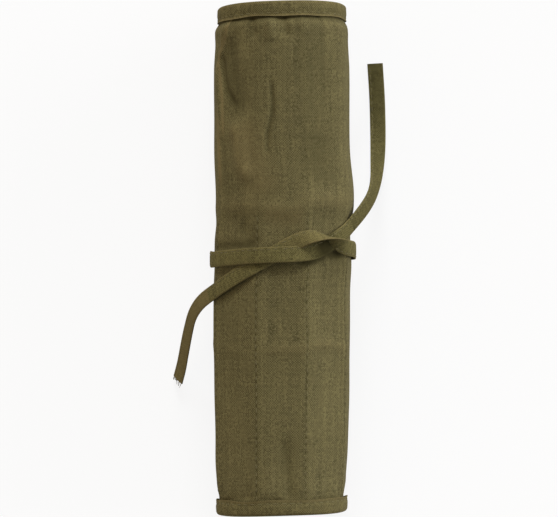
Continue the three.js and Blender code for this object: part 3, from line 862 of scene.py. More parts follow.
def new_piece(name, shape, material, wear_and_shading=None):
    """Object at the origin from points, faces, cloth coordinates and wear with painted light and shade, crisp
    past the sharp angle.

    A quad whose last or first two corners are one point is a triangle.
    """
    points, quads, uv = shape
    mesh = bpy.data.meshes.new(name)
    single = quads[:, 2] == quads[:, 3]
    first_pair = quads[:, 0] == quads[:, 1]
    faces = quads[~(single | first_pair)].tolist()
    faces += quads[single][:, :3].tolist()
    faces += quads[first_pair][:, 1:].tolist()
    mesh.from_pydata(points.tolist(), [], faces)
    mesh.update()
    corners = np.empty(len(mesh.loops), dtype=np.int32)
    mesh.loops.foreach_get("vertex_index", corners)
    layer = mesh.uv_layers.new(name="Cloth")
    layer.data.foreach_set("uv", uv[corners].astype(np.float32).ravel())
    mesh.polygons.foreach_set("use_smooth", np.ones(len(mesh.polygons), dtype=bool))
    mesh.set_sharp_from_angle(angle=SHARP_ANGLE)
    if wear_and_shading is not None:
        attribute = mesh.attributes.new("wear_and_shading", "FLOAT", "POINT")
        attribute.data.foreach_set("value", wear_and_shading.astype(np.float32).ravel())
    mesh.materials.append(material)
    piece = bpy.data.objects.new(name, mesh)
    bpy.context.scene.collection.objects.link(piece)
    return piece


def joined(shapes):
    """Several shapes as one: their points one after another, with the face numbers moved on."""
    starts = np.cumsum([0] + [len(shape[0]) for shape in shapes[:-1]])
    points = np.concatenate([shape[0] for shape in shapes])
    quads = np.concatenate([shape[1] + start for shape, start in zip(shapes, starts)])
    uv = np.concatenate([shape[2] for shape in shapes])
    return points, quads, uv


def stitch_form():
    """One stitch: a rod of six rings whose radius falls to its ends as the root of one minus a^4."""
    a = np.linspace(-1.0, 1.0, STITCH_RINGS)[:, None]
    angle = np.linspace(0.0, 2.0 * math.pi, STITCH_RINGS, endpoint=False)
    radius = np.sqrt(np.clip(1.0 - a ** 4, STITCH_TIP, 1.0))
    rings = np.stack(np.broadcast_arrays(a, radius * np.cos(angle), radius * np.sin(angle)), axis=-1)
    return tube(rings, rings[..., :2])


def stitches(places, along, outward, stitch, seed):
    """Rows of stitches: the one form set at each place, turned and shortened a little by seeded draws."""
    points, quads, _ = stitch_form()
    rng = np.random.default_rng(seed)
    across = unit(np.cross(outward, along))
    swing = rng.normal(0.0, STITCH_SWING, (len(places), 1))
    ahead = unit(along + swing * across)
    across = unit(np.cross(outward, ahead))
    half = stitch.stitch / 2.0 * rng.uniform(*STITCH_SHARES, (len(places), 1, 1))
    moved = (
        places[:, None]
        + points[None, :, :1] * half * ahead[:, None]
        + points[None, :, 1:2] * stitch.thread / 2.0 * across[:, None]
        + points[None, :, 2:] * stitch.rise * outward[:, None]
    )
    count = len(points)
    offsets = (np.arange(len(places)) * count)[:, None, None]
    uv = np.tile(points[:, :2] * MM, (len(places), 1))
    return moved.reshape(-1, 3), (quads[None] + offsets).reshape(-1, 4), uv


def strip_span(section, number):
    """Arc lengths between which a strip reaches: from panel middle to panel middle, or the cloth's end."""
    start = 0.0 if number == 1 else section["middles"][number - 1]
    end = section["seams"][-1] if number == STRIPS else section["middles"][number]
    return start, end


def fold_at(section, number):
    """Places just before and after a fold, between which the cloth bends."""
    seam = section["seams"][number]
    return on_roll(section, np.array([seam - FOLD_REACH, seam + FOLD_REACH]), 0.0, FOLD_DEPTH)


def bends(piece, section, number):
    """Bakes a piece's placing into its points; the places on both sides of its fold are found but not used.
    """
    start, end = fold_at(section, number)
    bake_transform(piece)


def steps_between(start, end, step):
    """Even places from start to end, about a step apart."""
    return np.linspace(start, end, max(3, int(round((end - start) / step)) + 1))


def strip_steps(section, number, start, stop):
    """Places across a strip of cloth: even steps, and closer ones on both sides of its seam."""
    even = steps_between(start, stop, CLOTH_STEP_S)
    seam = section["seams"][number]
    close = seam + np.linspace(-SEAM_STEPS_REACH, SEAM_STEPS_REACH, SEAM_STEPS)
    return np.sort(np.concatenate([even[np.abs(even - seam) > SEAM_STEPS_ROOM], close]))


def nodes_of(name, number, last):
    """CAD nodes that a strip stands for: its own panel's, and also the next one's at the last strip."""
    names = [f"{name}_{number:02d}"]
    if number == last:
        names.append(f"{name}_{number + 1:02d}")
    return names


def lay_strip(section, name, number, last, faces, uv, cloth, wear_and_shading=None):
    """Lays one strip of a cloth between its two faces, in place of its CAD nodes, and bakes its placing.
    """
    piece = new_piece(f"{name}_strip_{number:02d}", slab(*faces, uv), cloth, wear_and_shading)
    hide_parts(*nodes_of(name, number, last))
    bends(piece, section, number)


class ROLL_OT_canvas(bpy.types.Operator):
    """Make the outer canvas: eleven strips, each bent at one pocket seam"""

    bl_idname = "brush_roll.canvas"
    bl_label = "Outer canvas"

    def execute(self, context):
        sizes = context.scene.roll_sizes
        section = roll_section(context.scene)
        colours = context.scene.cloth_colours
        cloth = canvas_material("canvas cloth", colours.canvas, colours)
        end = sizes.roll_length / 2.0 - sizes.binding - sizes.lay_gap
        lengthways = steps_between(-end, end, CLOTH_STEP_Y)
        for number in range(1, STRIPS + 1):
            start, stop = strip_span(section, number)
            s, y = np.meshgrid(strip_steps(section, number, start, stop), lengthways, indexing="ij")
            depth = tie_groove(section, s, y) - cloth_relief(section, s, y)
            faces = [on_roll(section, s, y, depth + below) for below in (0.0, sizes.canvas)]
            wear_and_shading = cloth_wear_and_shading(section, s, y)
            both = np.stack([wear_and_shading, np.zeros_like(wear_and_shading)])
            uv = np.stack([s, y], axis=-1)
            lay_strip(section, "canvas", number, STRIPS, faces, uv, cloth, both)
        return {"FINISHED"}


def pocket_room(section, s, y):
    """Room between canvas and pocket front: 4 u (1 - u) across the panel, opening from the bottom hem."""
    sizes = section["sizes"]
    u = panel_share(section, s)
    rise = smooth((sizes.roll_length / 2.0 - sizes.binding_height - sizes.lay_gap + y) / sizes.pocket_taper)
    return sizes.sewn_gap + (sizes.pocket_depth - sizes.sewn_gap) * 4.0 * u * (1.0 - u) * rise


class ROLL_OT_pockets(bpy.types.Operator):
    """Make the pocket fronts: ten strips on the inside, sewn at the seams, with a turned hem at the mouth"""

    bl_idname = "brush_roll.pockets"
    bl_label = "Pocket fronts"

    def execute(self, context):
        sizes = context.scene.roll_sizes
        section = roll_section(context.scene)
        colours = context.scene.cloth_colours
        cloth = canvas_material("pocket cloth", colours.pocket, colours)
        bottom = -sizes.roll_length / 2.0 + sizes.binding + sizes.lay_gap
        lengthways = steps_between(bottom, sizes.pocket_mouth, CLOTH_STEP_Y)
        from_mouth = sizes.pocket_mouth - lengthways
        hem = MOUTH_HEM_THICKNESS * smooth((MOUTH_HEM - from_mouth) / MOUTH_HEM_EDGE)
        hem = hem - MM * bells(from_mouth, MOUTH_ROW)
        last = STRIPS - 1
        for number in range(1, last + 1):
            start, stop = strip_span(section, number)
            stop = section["seams"][STRIPS] if number == last else stop
            s, y = np.meshgrid(steps_between(start, stop, CLOTH_STEP_S), lengthways, indexing="ij")
            room = np.maximum(pocket_room(section, s, y), tie_groove(section, s, y) + sizes.sewn_gap)
            sag = SAG * waves(s, y, *SAG_WAVES) * smooth((room - sizes.sewn_gap) / SAG_ROOM)
            front = sizes.canvas + room + np.clip(sag, -SAG_LIMIT, SAG_LIMIT) - cloth_relief(section, s, y)
            faces = [on_roll(section, s, y, front + below) for below in (0.0, sizes.pocket_cloth + hem)]
            lay_strip(section, "pocket", number, last, faces, np.stack([s, y], axis=-1), cloth)
        return {"FINISHED"}


def hem_stack(sizes, end):
    """Thickness of the cloths inside a binding: the canvas, and the sewn pocket front at the bottom hem."""
    return sizes.canvas + (sizes.sewn_gap + sizes.pocket_cloth if end < 0.0 else 0.0)


def binding_profile(sizes, end, offset):
    """Profile of a hem binding as depth and distance from the hem's end: a leg, a half round and a leg."""
    outside = -sizes.lay_gap - sizes.binding
    inside = hem_stack(sizes, end) + sizes.lay_gap + sizes.binding
    round_over = (inside - outside) / 2.0
    turn = np.linspace(-math.pi / 2.0, math.pi / 2.0, HEM_ROUND_POINTS)
    reach = round_over - offset
    leg = np.linspace(sizes.binding_height, round_over, HEM_LEG_POINTS)[:-1]
    depth = np.concatenate([
        np.full(len(leg), outside + offset),
        (outside + inside) / 2.0 + reach * np.sin(turn),
        np.full(len(leg), inside - offset),
    ])
    from_end = np.concatenate([leg, round_over - reach * np.cos(turn), leg[::-1]])
    return depth, from_end


def binding_face(section, s, end, offset):
    """One face of a hem binding: its profile carried along s, with a wandering edge and rippled legs.

    Bell curves of the distance from the hem's end press it in along the stitch row and swell it beside.
    """
    sizes = section["sizes"]
    depth, from_end = binding_profile(sizes, end, offset)
    leg = smooth((from_end - HEM_LEG_FROM) / HEM_LEG_EASE)
    wander = HEM_WANDER_WIDTH * waves(s, 0.0 * from_end, *HEM_WANDER, HEM_WANDER_SEED + int(end))
    y = end * (sizes.roll_length / 2.0 - from_end + wander * leg)
    pressed = HEM_ROW_DEPTH * bell(from_end - sizes.binding_height + HEM_ROW, HEM_ROW_WIDTH)
    ripple = HEM_RIPPLE_HEIGHT * waves(s, from_end, *HEM_RIPPLES) * leg
    outside = np.sign(hem_stack(sizes, end) / 2.0 - depth)
    return on_roll(section, s, y, depth + outside * (pressed - MM * bells(from_end, HEM_SWELL) + ripple))


class ROLL_OT_bindings(bpy.types.Operator):
    """Make the hem bindings: tape folded over both ends of the cloth, pressed in along its stitch row"""

    bl_idname = "brush_roll.bindings"
    bl_label = "Hem bindings"

    def execute(self, context):
        sizes = context.scene.roll_sizes
        section = roll_section(context.scene)
        colours = context.scene.cloth_colours
        cloth = canvas_material("binding cloth", colours.binding, colours)
        for end, name in HEMS:
            width = arc_lengths(np.stack(binding_profile(sizes, end, 0.0), axis=-1))
            _, from_end = binding_profile(sizes, end, sizes.binding)
            rubbed = HEM_FOLD_WEAR * bell(from_end, HEM_FOLD_WIDTH)
            rubbed = rubbed + bell(from_end - sizes.binding_height, HEM_EDGE_WIDTH)
            for number in range(1, STRIPS + 1):
                start, stop = strip_span(section, number)
                s = steps_between(start, stop, CLOTH_STEP_S)[:, None]
                faces = [binding_face(section, s, end, offset) for offset in (0.0, sizes.binding)]
                uv = np.stack(np.broadcast_arrays(s, sizes.roll_length / 2.0 + width), axis=-1)
                wear_and_shading = np.broadcast_to(rubbed, (2, len(s), len(rubbed)))
                lay_strip(section, name, number, STRIPS, faces, uv, cloth, wear_and_shading)
        return {"FINISHED"}


def seam_row(section, number):
    """Places and directions of the stitches down one pocket seam, on the canvas and on the pocket front."""
    sizes = section["sizes"]
    y = np.arange(seam_bottom(section), sizes.pocket_mouth, section["stitch"].pitch)
    s = section["seams"][number] + SEAM_WANDER_WIDTH * waves(y, 0.0 * y, *SEAM_WANDER, number)
    relief = cloth_relief(section, s, y)
    outside = on_roll(section, s, y, -relief - STITCH_LIFT)
    under = sizes.canvas + pocket_room(section, s, y) + sizes.pocket_cloth + STITCH_LIFT - relief
    outward = outward_at(section, s)
    along = np.broadcast_to(ALONG_ROLL, outside.shape)
    return [(outside, along, outward), (on_roll(section, s, y, under), along, -outward)]


def hem_row(section, number, end):
    """Places and directions of the stitches along one binding, outside and inside, for one strip of cloth."""
    sizes = section["sizes"]
    pitch = section["stitch"].pitch
    first, last = (math.ceil(place / pitch - 0.5) for place in strip_span(section, number))
    s = (np.arange(first, last) + 0.5) * pitch
    y = np.full(len(s), end * (sizes.roll_length / 2.0 - sizes.binding_height + HEM_ROW))
    cover = sizes.lay_gap + sizes.binding - HEM_ROW_SINK
    outside = on_roll(section, s, y, -cover)
    inside = on_roll(section, s, y, hem_stack(sizes, end) + cover)
    outward = outward_at(section, s)
    along = unit(np.cross(outward, ALONG_ROLL))
    return [(outside, along, outward), (inside, along, -outward)]


class ROLL_OT_stitching(bpy.types.Operator):
    """Sew the pocket seams and the hem bindings with rows of stitches"""

    bl_idname = "brush_roll.stitching"
    bl_label = "Stitching"

    def execute(self, context):
        section = roll_section(context.scene)
        stitch = context.scene.stitch_sizes
        thread = thread_material("sewing thread", context.scene.cloth_colours.thread)
        for number in range(1, STRIPS + 1):
            rows = seam_row(section, number)
            for end, _ in HEMS:
                rows += hem_row(section, number, end)
            shapes = [stitches(*row, stitch, STRIP_SEEDS * number + i) for i, row in enumerate(rows)]
            piece = new_piece(f"stitching_{number:02d}", joined(shapes), thread)
            bends(piece, section, number)
        return {"FINISHED"}


def spline(places, values, at):
    """Cubic curve through values, with slopes that are the mean of the neighbouring chords'."""
    chords = np.diff(values, axis=0) / np.diff(places)[:, None]
    slopes = np.concatenate([chords[:1], (chords[1:] + chords[:-1]) / 2.0, chords[-1:]])
    i = np.clip(np.searchsorted(places, at, side="right") - 1, 0, len(places) - 2)
    step = (places[i + 1] - places[i])[:, None]
    t = ((at - places[i]) / (places[i + 1] - places[i]))[:, None]
    return (
        values[i] * (2 * t ** 3 - 3 * t ** 2 + 1)
        + slopes[i] * step * (t ** 3 - 2 * t ** 2 + t)
        + values[i + 1] * (3 * t ** 2 - 2 * t ** 3)
        + slopes[i + 1] * step * (t ** 3 - t ** 2)
    )


def strap_on_roll(section, s, route):
    """Strap lying on the roll: place, facing and s of its middle line, with y, height and lean by its route.

    The facing is the outward direction, turned towards -Y by the lean.
    """
    place = on_roll(section, s, route[:, 0], -route[:, 1])
    lean = np.radians(route[:, 2:3])
    facing = np.cos(lean) * outward_at(section, s) - np.sin(lean) * ALONG_ROLL
    return np.concatenate([place, facing, s[:, None]], axis=1)


def tail_run(section, start, points, low, side, facing):
    """Free tail from its start through its own points, its nearer face easing round to its last facing."""
    reach = section["x"].max() - section["middle_x"]
    places = np.stack([
        section["middle_x"] + side * (reach + points[:, 0] * MM),
        points[:, 1] * MM,
        low * MM + (start[2] - low * MM) * points[:, 2],
    ], axis=-1)
    share = smooth((np.arange(len(points)) + 1.0) / (len(points) - 1.0))[:, None]
    last = unit(np.array(facing))
    last = last * np.sign(last @ start[3:6])
    return np.concatenate([places, unit((1.0 - share) * start[3:6] + share * last)], axis=1)


def along_knots(first, knots):
    """Smooth run from the last point of a strap through the knots of its free tail."""
    whole = np.concatenate([first, knots])
    places = arc_lengths(whole[:, :3])
    fine = np.linspace(places[len(first) - 1], places[-1], TAIL_POINTS)[1:]
    return spline(places, whole, fine)


def strap_path(tie, run, knots):
    """Whole strap: its run on the roll and its tail, evenly spaced, with the kinks rounded off.

    The columns are place, facing and s, which goes on counting along the tail.
    """
    tail = along_knots(run[TAIL_SETS_OUT, :6], knots)
    whole = np.concatenate([run[:, :6], tail])
    along = arc_lengths(whole[:, :3])
    onwards = np.sign(run[-1, 6] - run[0, 6]) * (along[len(run):] - along[len(run) - 1])
    s_run = np.concatenate([run[:, 6], run[-1, 6] + onwards])
    even = evenly_spaced(np.concatenate([whole, s_run[:, None]], axis=1), STRAP_STEP)
    eased = rounded(even, STRAP_STEP, tie.rounding)
    eased[:, 6] = even[:, 6]
    return eased


def strap_ring(tie):
    """Cross-section of the strap: powers of a cosine and a sine, pressed in along the row of stitches."""
    turn = np.linspace(0.0, 2.0 * math.pi, RING_POINTS, endpoint=False) + math.pi / RING_POINTS
    b, c = (
        np.sign(wave) * np.abs(wave) ** power
        for wave, power in zip((np.cos(turn), np.sin(turn)), STRAP_POWERS)
    )
    b = b * tie.width / 2.0
    pressed = 1.0 - STRAP_ROW_DEPTH * bell(b + tie.width / 2.0 - tie.edge_row, STRAP_ROW_WIDTH)
    return b, c * tie.thickness / 2.0 * pressed


def strap_frames(path):
    """Direction, side and facing of a strap at each point of its path, square to each other."""
    ahead = unit(np.gradient(path[:, :3], axis=0))
    side = unit(np.cross(ahead, path[:, 3:6]))
    facing = unit(np.cross(side, ahead))
    return ahead, side, facing


def strap_shape(path, tie):
    """Strap swept along its path, with its cross-section set out along its side and facing."""
    _, side, facing = strap_frames(path)
    b, c = strap_ring(tie)
    rings = path[:, None, :3] + b[None, :, None] * side[:, None] + c[None, :, None] * facing[:, None]
    run = arc_lengths(path[:, :3])[:, None] + path[0, 6]
    uv = np.stack(np.broadcast_arrays(run, b + np.where(c < 0.0, STRAP_BACK_SHIFT, 0.0)), axis=-1)
    return tube(rings, uv)


def strap_stitches(path, tie, stitch, seed):
    """Stitch row along the open edge of a folded strap, on both of its faces."""
    run = arc_lengths(path[:, :3])
    first, left, step = (share * stitch.pitch for share in STRAP_PITCHES)
    at = np.arange(first, run[-1] - left, step)
    line, ahead, side, facing = (
        np.stack([np.interp(at, run, values[:, i]) for i in range(3)], axis=-1)
        for values in (path, *strap_frames(path))
    )
    row = line - (tie.width / 2.0 - tie.edge_row) * unit(side)
    rows = []
    for face in (-1.0, 1.0):
        outward = face * unit(facing)
        places = row + STRAP_ROW_LIFT * tie.thickness * outward
        rows.append(stitches(places, unit(ahead), outward, stitch, seed + int(face)))
    return joined(rows)


def meeting_place(section):
    """Arc length at which the strap's two bands meet, over the roll's free edge."""
    before, after = section["seams"][7:9]
    return before + MEET_SHARE * (after - before)


def round_free_edge(section, tie):
    """Strap from the meeting place down round the free edge, in four points of place, facing and s."""
    edge = section["x"][0]
    meet = on_roll(section, meeting_place(section), tie.left_y, -tie.low)
    meet_out = outward_at(section, meeting_place(section))
    corner = np.array([edge - EDGE_CORNER[0], tie.left_y, EDGE_CORNER[1]])
    half_way = meet * EDGE_SHARE + corner * (1.0 - EDGE_SHARE) + EDGE_BOW
    under = np.array([edge - EDGE_UNDER[0], tie.left_y, EDGE_UNDER[1]])
    places = np.stack([meet, half_way, corner, under])
    facings = np.stack([meet_out, meet_out, EDGE_CORNER_FACING, EDGE_UNDER_FACING])
    return np.concatenate([places, facings, EDGE_RUN], axis=1)


def right_strand(section, tie):
    """Strap from the free edge under the roll, up its right side, over the knot and down to the left tail."""
    top_s, top_x = over_top(section)
    knot_s = np.interp(-RIGHT_ROUTE[:, 0] * MM, -top_x, top_s)
    s = np.arange(UNDER_START, knot_s[-1], STRAP_STEP)
    height = tie.low * (1.0 - 2.0 * groove_share(section, s))
    side_y = tie.left_y + (tie.right_y - tie.left_y) * smooth(s / section["seams"][1])
    knot = spline(knot_s, RIGHT_ROUTE[:, 1:] * ROUTE_UNITS, np.clip(s, knot_s[0], None))
    on_side = np.stack([side_y, height, np.zeros(len(s))], axis=-1)
    share = smooth((s - knot_s[0]) / RIGHT_KNOT_EASE + 1.0)[:, None]
    route = (1.0 - share) * on_side + share * knot
    run = np.concatenate([round_free_edge(section, tie), strap_on_roll(section, s, route)])
    knots = tail_run(section, run[-1], LEFT_TAIL, LEFT_TAIL_LOW, -1.0, LEFT_TAIL_FACING)
    return strap_path(tie, run, knots)


def left_strand(section, tie):
    """Strap from the free edge up the left side, across the knot and down to the right tail."""
    top_s, top_x = over_top(section)
    route = LEFT_ROUTE[::-1]
    knot_s = np.interp(-route[:, 0] * MM, -top_x, top_s)
    s = np.arange(meeting_place(section) - MEET_OVERLAP, knot_s[0], -STRAP_STEP)
    knot = spline(knot_s, route[:, 1:] * ROUTE_UNITS, np.clip(s, None, knot_s[-1]))
    on_side = np.array([tie.left_y, tie.low, 0.0])
    share = smooth((knot_s[-1] - s) / LEFT_KNOT_EASE + 1.0)[:, None]
    run = strap_on_roll(section, s, (1.0 - share) * on_side + share * knot)
    knots = tail_run(section, run[-1], RIGHT_TAIL, RIGHT_TAIL_LOW, 1.0, RIGHT_TAIL_FACING)
    return strap_path(tie, run, knots)


def cut(path, low, high):
    """The part of a strap whose s lies between two values, with its ends shared with the next part."""
    inside = np.flatnonzero((path[:, 6] >= low) & (path[:, 6] <= high))
    return path[max(inside[0] - 1, 0): inside[-1] + 1]


class ROLL_OT_tie(bpy.types.Operator):
    """Tie the roll: one strap round it, knotted on top, in lengths that bend at the folds, with two tails"""

    bl_idname = "brush_roll.tie"
    bl_label = "Tie strap"

    def execute(self, context):
        colours = context.scene.cloth_colours
        tie = context.scene.tie_sizes
        section = roll_section(context.scene)
        cloth = canvas_material("tie cloth", colours.tie, colours)
        thread = thread_material("tie thread", colours.thread)
        middles = section["middles"]
        right = right_strand(section, tie)
        left = left_strand(section, tie)
        leaves_left = section["seams"][6] + TAIL_LEAVES
        leaves_right = section["seams"][3] - TAIL_LEAVES
        lengths = [
            ("tie_under_roll", right, -PAST_ENDS, middles[1], 1, ["tie_band_01", "tie_band_02"]),
            ("tie_right_side", right, middles[1], middles[2], 2, ["tie_band_03"]),
            ("tie_right_shoulder", right, middles[2], middles[3], 3, []),
            ("tie_knot_arch", right, middles[3], middles[4], 4, ["tie_right_over", "tie_left_under"]),
            ("tie_knot_under", right, middles[4], middles[5], 5, []),
            ("tie_left_slope", right, middles[5], leaves_left, 6, ["tie_left_slope"]),
            ("tie_free_edge", left, middles[6], PAST_ENDS, 7, ["tie_band_08"]),
            ("tie_left_side", left, middles[5], middles[6], 6, ["tie_band_07"]),
            ("tie_left_shoulder", left, middles[4], middles[5], 5, ["tie_band_06"]),
            ("tie_knot_over", left, middles[3], middles[4], 4, ["tie_left_over", "tie_right_under"]),
            ("tie_right_slope", left, leaves_right, middles[3], 3, []),
        ]
        for count, (name, strand, low, high, fold, replaced) in enumerate(lengths):
            path = cut(strand, low, high)
            wear_and_shading = ARCH_WEAR if name == "tie_knot_arch" else 0.0
            seed = STRAP_SEED + STRAP_SEEDS * count
            pieces = self.strap(section, name, path, cloth, thread, seed, replaced, wear_and_shading, strand is left)
            for piece in pieces:
                bends(piece, section, fold)
        # Painted light on the left tail and painted shade on the right tail
        tails = [
            ("left_tail", cut(right, leaves_left, PAST_ENDS), "panel_07", LEFT_TAIL_SEED, LEFT_TAIL_PAINTED_LIGHT),
            ("right_tail", cut(left, -PAST_ENDS, leaves_right), "panel_03", RIGHT_TAIL_SEED, RIGHT_TAIL_PAINTED_SHADE),
        ]
        for name, path, panel, seed, wear_and_shading in tails:
            pieces = self.strap(section, name, path, cloth, thread, seed, [name], wear_and_shading)
            for piece in pieces:
                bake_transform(piece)
        self.fray(tie, right, thread)
        return {"FINISHED"}

    def strap(self, section, name, path, cloth, thread, seed, replaced, wear_and_shading, lies_under=False):
        """One length of the strap and its stitches, rubbed along its edges, with painted shade under the
        knot.
        """
        tie = section["tie"]
        b, _ = strap_ring(tie)
        rubbed = wear_and_shading + STRAP_EDGE_WEAR * bell(np.abs(b) - tie.width / 2.0, STRAP_EDGE_WIDTH)
        # Painted shade on the strand that passes under the knot's arch
        from_knot = path[:, :1] - section["middle_x"] - KNOT_PAINTED_SHADE_X
        shade = lies_under * KNOT_PAINTED_SHADE * bell(from_knot, KNOT_PAINTED_SHADE_WIDTH)
        end_fans = np.zeros(2)
        wear_and_shading = np.concatenate([(rubbed - shade).ravel(), end_fans])
        piece = new_piece(f"{name}_strap", strap_shape(path, tie), cloth, wear_and_shading)
        sewn = strap_stitches(path, tie, section["stitch"], seed)
        rows = new_piece(f"{name}_strap_stitching", sewn, thread)
        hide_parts(*replaced)
        return piece, rows

    def fray(self, tie, path, thread):
        """Frayed threads at the left tail's end: thin tubes that curl by the square of the way."""
        ahead, side, facing = (vectors[-1] for vectors in strap_frames(path))
        rng = np.random.default_rng(FRAY_SEED)
        each = (FRAY_THREADS, 1, 1)
        t = np.linspace(0.0, 1.0, FRAY_STEPS)[None, :, None]
        reach = rng.uniform(*FRAY_REACH, each) * MM
        start = path[-1, :3] - FRAY_ROOT * ahead
        for direction, room in ((side, FRAY_ACROSS * tie.width), (facing, FRAY_DEEP * tie.thickness)):
            start = start + rng.uniform(-room, room, each) * direction
        curl_side, curl_face = (rng.normal(0.0, spread, each) * MM for spread in FRAY_CURL)
        lines = start + t * reach * ahead + t ** 2 * (curl_side * side + curl_face * facing)
        angle = np.linspace(0.0, 2.0 * math.pi, FRAY_SIDES, endpoint=False)
        beaded = rng.uniform(0.0, 1.0, each) > FRAY_PLAIN
        swell = 1.0 + FRAY_BEAD * bell(t - FRAY_BEAD_AT, FRAY_BEAD_WIDTH) * beaded
        radius = FRAY_RADIUS * (1.0 - FRAY_TAPER * t) * swell
        around = np.cos(angle)[:, None] * side + np.sin(angle)[:, None] * facing
        rings = lines[:, :, None] + radius[..., None] * around
        shapes = [tube(ring, ring[..., :2]) for ring in rings]
        piece = new_piece("left_tail_fray", joined(shapes), thread)
        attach(piece, "left_tail")


def new_node(tree, kind, **settings):
    """Node of a kind in a tree, with settings of its own."""
    node = tree.nodes.new(kind)
    for name, value in settings.items():
        setattr(node, name, value)
    return node


def feed(tree, socket, value):
    """Gives an input socket either a link or a plain value."""
    if isinstance(value, bpy.types.NodeSocket):
        tree.links.new(value, socket)
    else:
        socket.default_value = value


def calculate(tree, operation, first, second=0.0, third=0.0, clamped=False):
    """Result of a maths node of up to three values."""
    node = new_node(tree, "ShaderNodeMath", operation=operation, use_clamp=clamped)
    for socket, value in zip(node.inputs, (first, second, third)):
        feed(tree, socket, value)
    return node.outputs[0]


def blended(tree, share, first, second):
    """Colour between two colours."""
    node = new_node(tree, "ShaderNodeMix", data_type="RGBA")
    feed(tree, node.inputs["Factor"], share)
    feed(tree, node.inputs[MIX_FIRST], first)
    feed(tree, node.inputs[MIX_SECOND], second)
    return node.outputs[MIX_RESULT]


def streaks(tree, vector, scale, detail):
    """Noise stretched by a scale for each direction, as a value about one half."""
    mapping = new_node(tree, "ShaderNodeMapping")
    mapping.inputs["Scale"].default_value = scale
    tree.links.new(vector, mapping.inputs["Vector"])
    noise = new_node(tree, "ShaderNodeTexNoise")
    noise.inputs["Scale"].default_value = 1.0
    noise.inputs["Detail"].default_value = detail
    tree.links.new(mapping.outputs["Vector"], noise.inputs["Vector"])
    return noise.outputs[0]


def effect_group(name, inputs, outputs):
    """Empty shader node group with named sockets, and its input and output nodes."""
    tree = bpy.data.node_groups.new(name, "ShaderNodeTree")
    for label, kind in inputs:
        tree.interface.new_socket(label, in_out="INPUT", socket_type=kind)
    for label in outputs:
        tree.interface.new_socket(label, in_out="OUTPUT", socket_type="NodeSocketFloat")
    return tree, new_node(tree, "NodeGroupInput"), new_node(tree, "NodeGroupOutput")


def plain_weave():
    """Node group of a plain weave on cloth coordinates in metres.

    Across a thread its height is the sine of half a turn, and along it the height goes up and down by a
    sine that starts half a turn later in each next thread. The higher of warp and weft shows. The tone is
    the shade of the thread that shows, and the grain is one of the crossing's own.
    """
    if "Plain weave" in bpy.data.node_groups:
        return bpy.data.node_groups["Plain weave"]
    sockets = [("Cloth", "NodeSocketVector"), ("Thread pitch", "NodeSocketFloat")]
    tree, given, result = effect_group("Plain weave", sockets, ["Height", "Tone", "Grain", "Weft"])
    parts = new_node(tree, "ShaderNodeSeparateXYZ")
    tree.links.new(given.outputs["Cloth"], parts.inputs[0])
    u = calculate(tree, "DIVIDE", parts.outputs["X"], given.outputs["Thread pitch"])
    v = calculate(tree, "DIVIDE", parts.outputs["Y"], given.outputs["Thread pitch"])
    heights = []
    tones = []
    numbers = []
    for across, along, rise in ((u, v, 0.5), (v, u, -0.5)):
        number = calculate(tree, "FLOOR", across)
        hump = calculate(tree, "SINE", calculate(tree, "MULTIPLY", calculate(tree, "FRACT", across), math.pi))
        turn = calculate(tree, "MULTIPLY", calculate(tree, "ADD", along, number), math.pi)
        over = calculate(tree, "MULTIPLY_ADD", calculate(tree, "SINE", turn), rise, 0.5)
        heights.append(calculate(tree, "MULTIPLY", hump, over))
        numbers.append(number)
        shade = new_node(tree, "ShaderNodeTexWhiteNoise", noise_dimensions="1D")
        tree.links.new(number, shade.inputs["W"])
        tones.append(shade.outputs["Value"])
    warp, weft = heights
    weft_shows = calculate(tree, "GREATER_THAN", weft, warp)
    difference = calculate(tree, "SUBTRACT", tones[1], tones[0])
    crossing = new_node(tree, "ShaderNodeCombineXYZ")
    tree.links.new(numbers[0], crossing.inputs["X"])
    tree.links.new(numbers[1], crossing.inputs["Y"])
    grain = new_node(tree, "ShaderNodeTexWhiteNoise", noise_dimensions="2D")
    tree.links.new(crossing.outputs["Vector"], grain.inputs["Vector"])
    tree.links.new(grain.outputs["Value"], result.inputs["Grain"])
    tree.links.new(weft_shows, result.inputs["Weft"])
    tree.links.new(calculate(tree, "MAXIMUM", warp, weft), result.inputs["Height"])
    tree.links.new(calculate(tree, "MULTIPLY_ADD", weft_shows, difference, tones[0]), result.inputs["Tone"])
    return tree


def cloth_ageing():
    """Node group of the cloth's uneven dye on cloth coordinates: streaks along both threads, and fading."""
    if "Cloth ageing" in bpy.data.node_groups:
        return bpy.data.node_groups["Cloth ageing"]
    masks = {"Fading": FADING, "Patches": PATCHES, "Fuzz": FUZZ}
    sockets = [("Cloth", "NodeSocketVector")]
    tree, given, result = effect_group("Cloth ageing", sockets, ["Slubs", *masks])
    cloth = given.outputs["Cloth"]
    lengthways = streaks(tree, cloth, *SLUBS_LENGTHWAYS)
    crossways = streaks(tree, cloth, *SLUBS_CROSSWAYS)
    slubs = calculate(tree, "MULTIPLY", crossways, 1.0 - LENGTHWAYS_SHARE)
    slubs = calculate(tree, "MULTIPLY_ADD", lengthways, LENGTHWAYS_SHARE, slubs)
    bands = calculate(tree, "SUBTRACT", streaks(tree, cloth, *SLUB_BANDS), 0.5)
    slubs = calculate(tree, "MULTIPLY_ADD", bands, BANDS_SHARE, slubs)
    tree.links.new(slubs, result.inputs["Slubs"])
    for mask, noise in masks.items():
        tree.links.new(streaks(tree, cloth, *noise), result.inputs[mask])
    return tree


def placed_group(tree, group, **values):
    """A node group placed in a material with its own values."""
    node = new_node(tree, "ShaderNodeGroup", node_tree=group)
    for label, value in values.items():
        feed(tree, node.inputs[label.replace("_", " ").capitalize()], value)
    return node


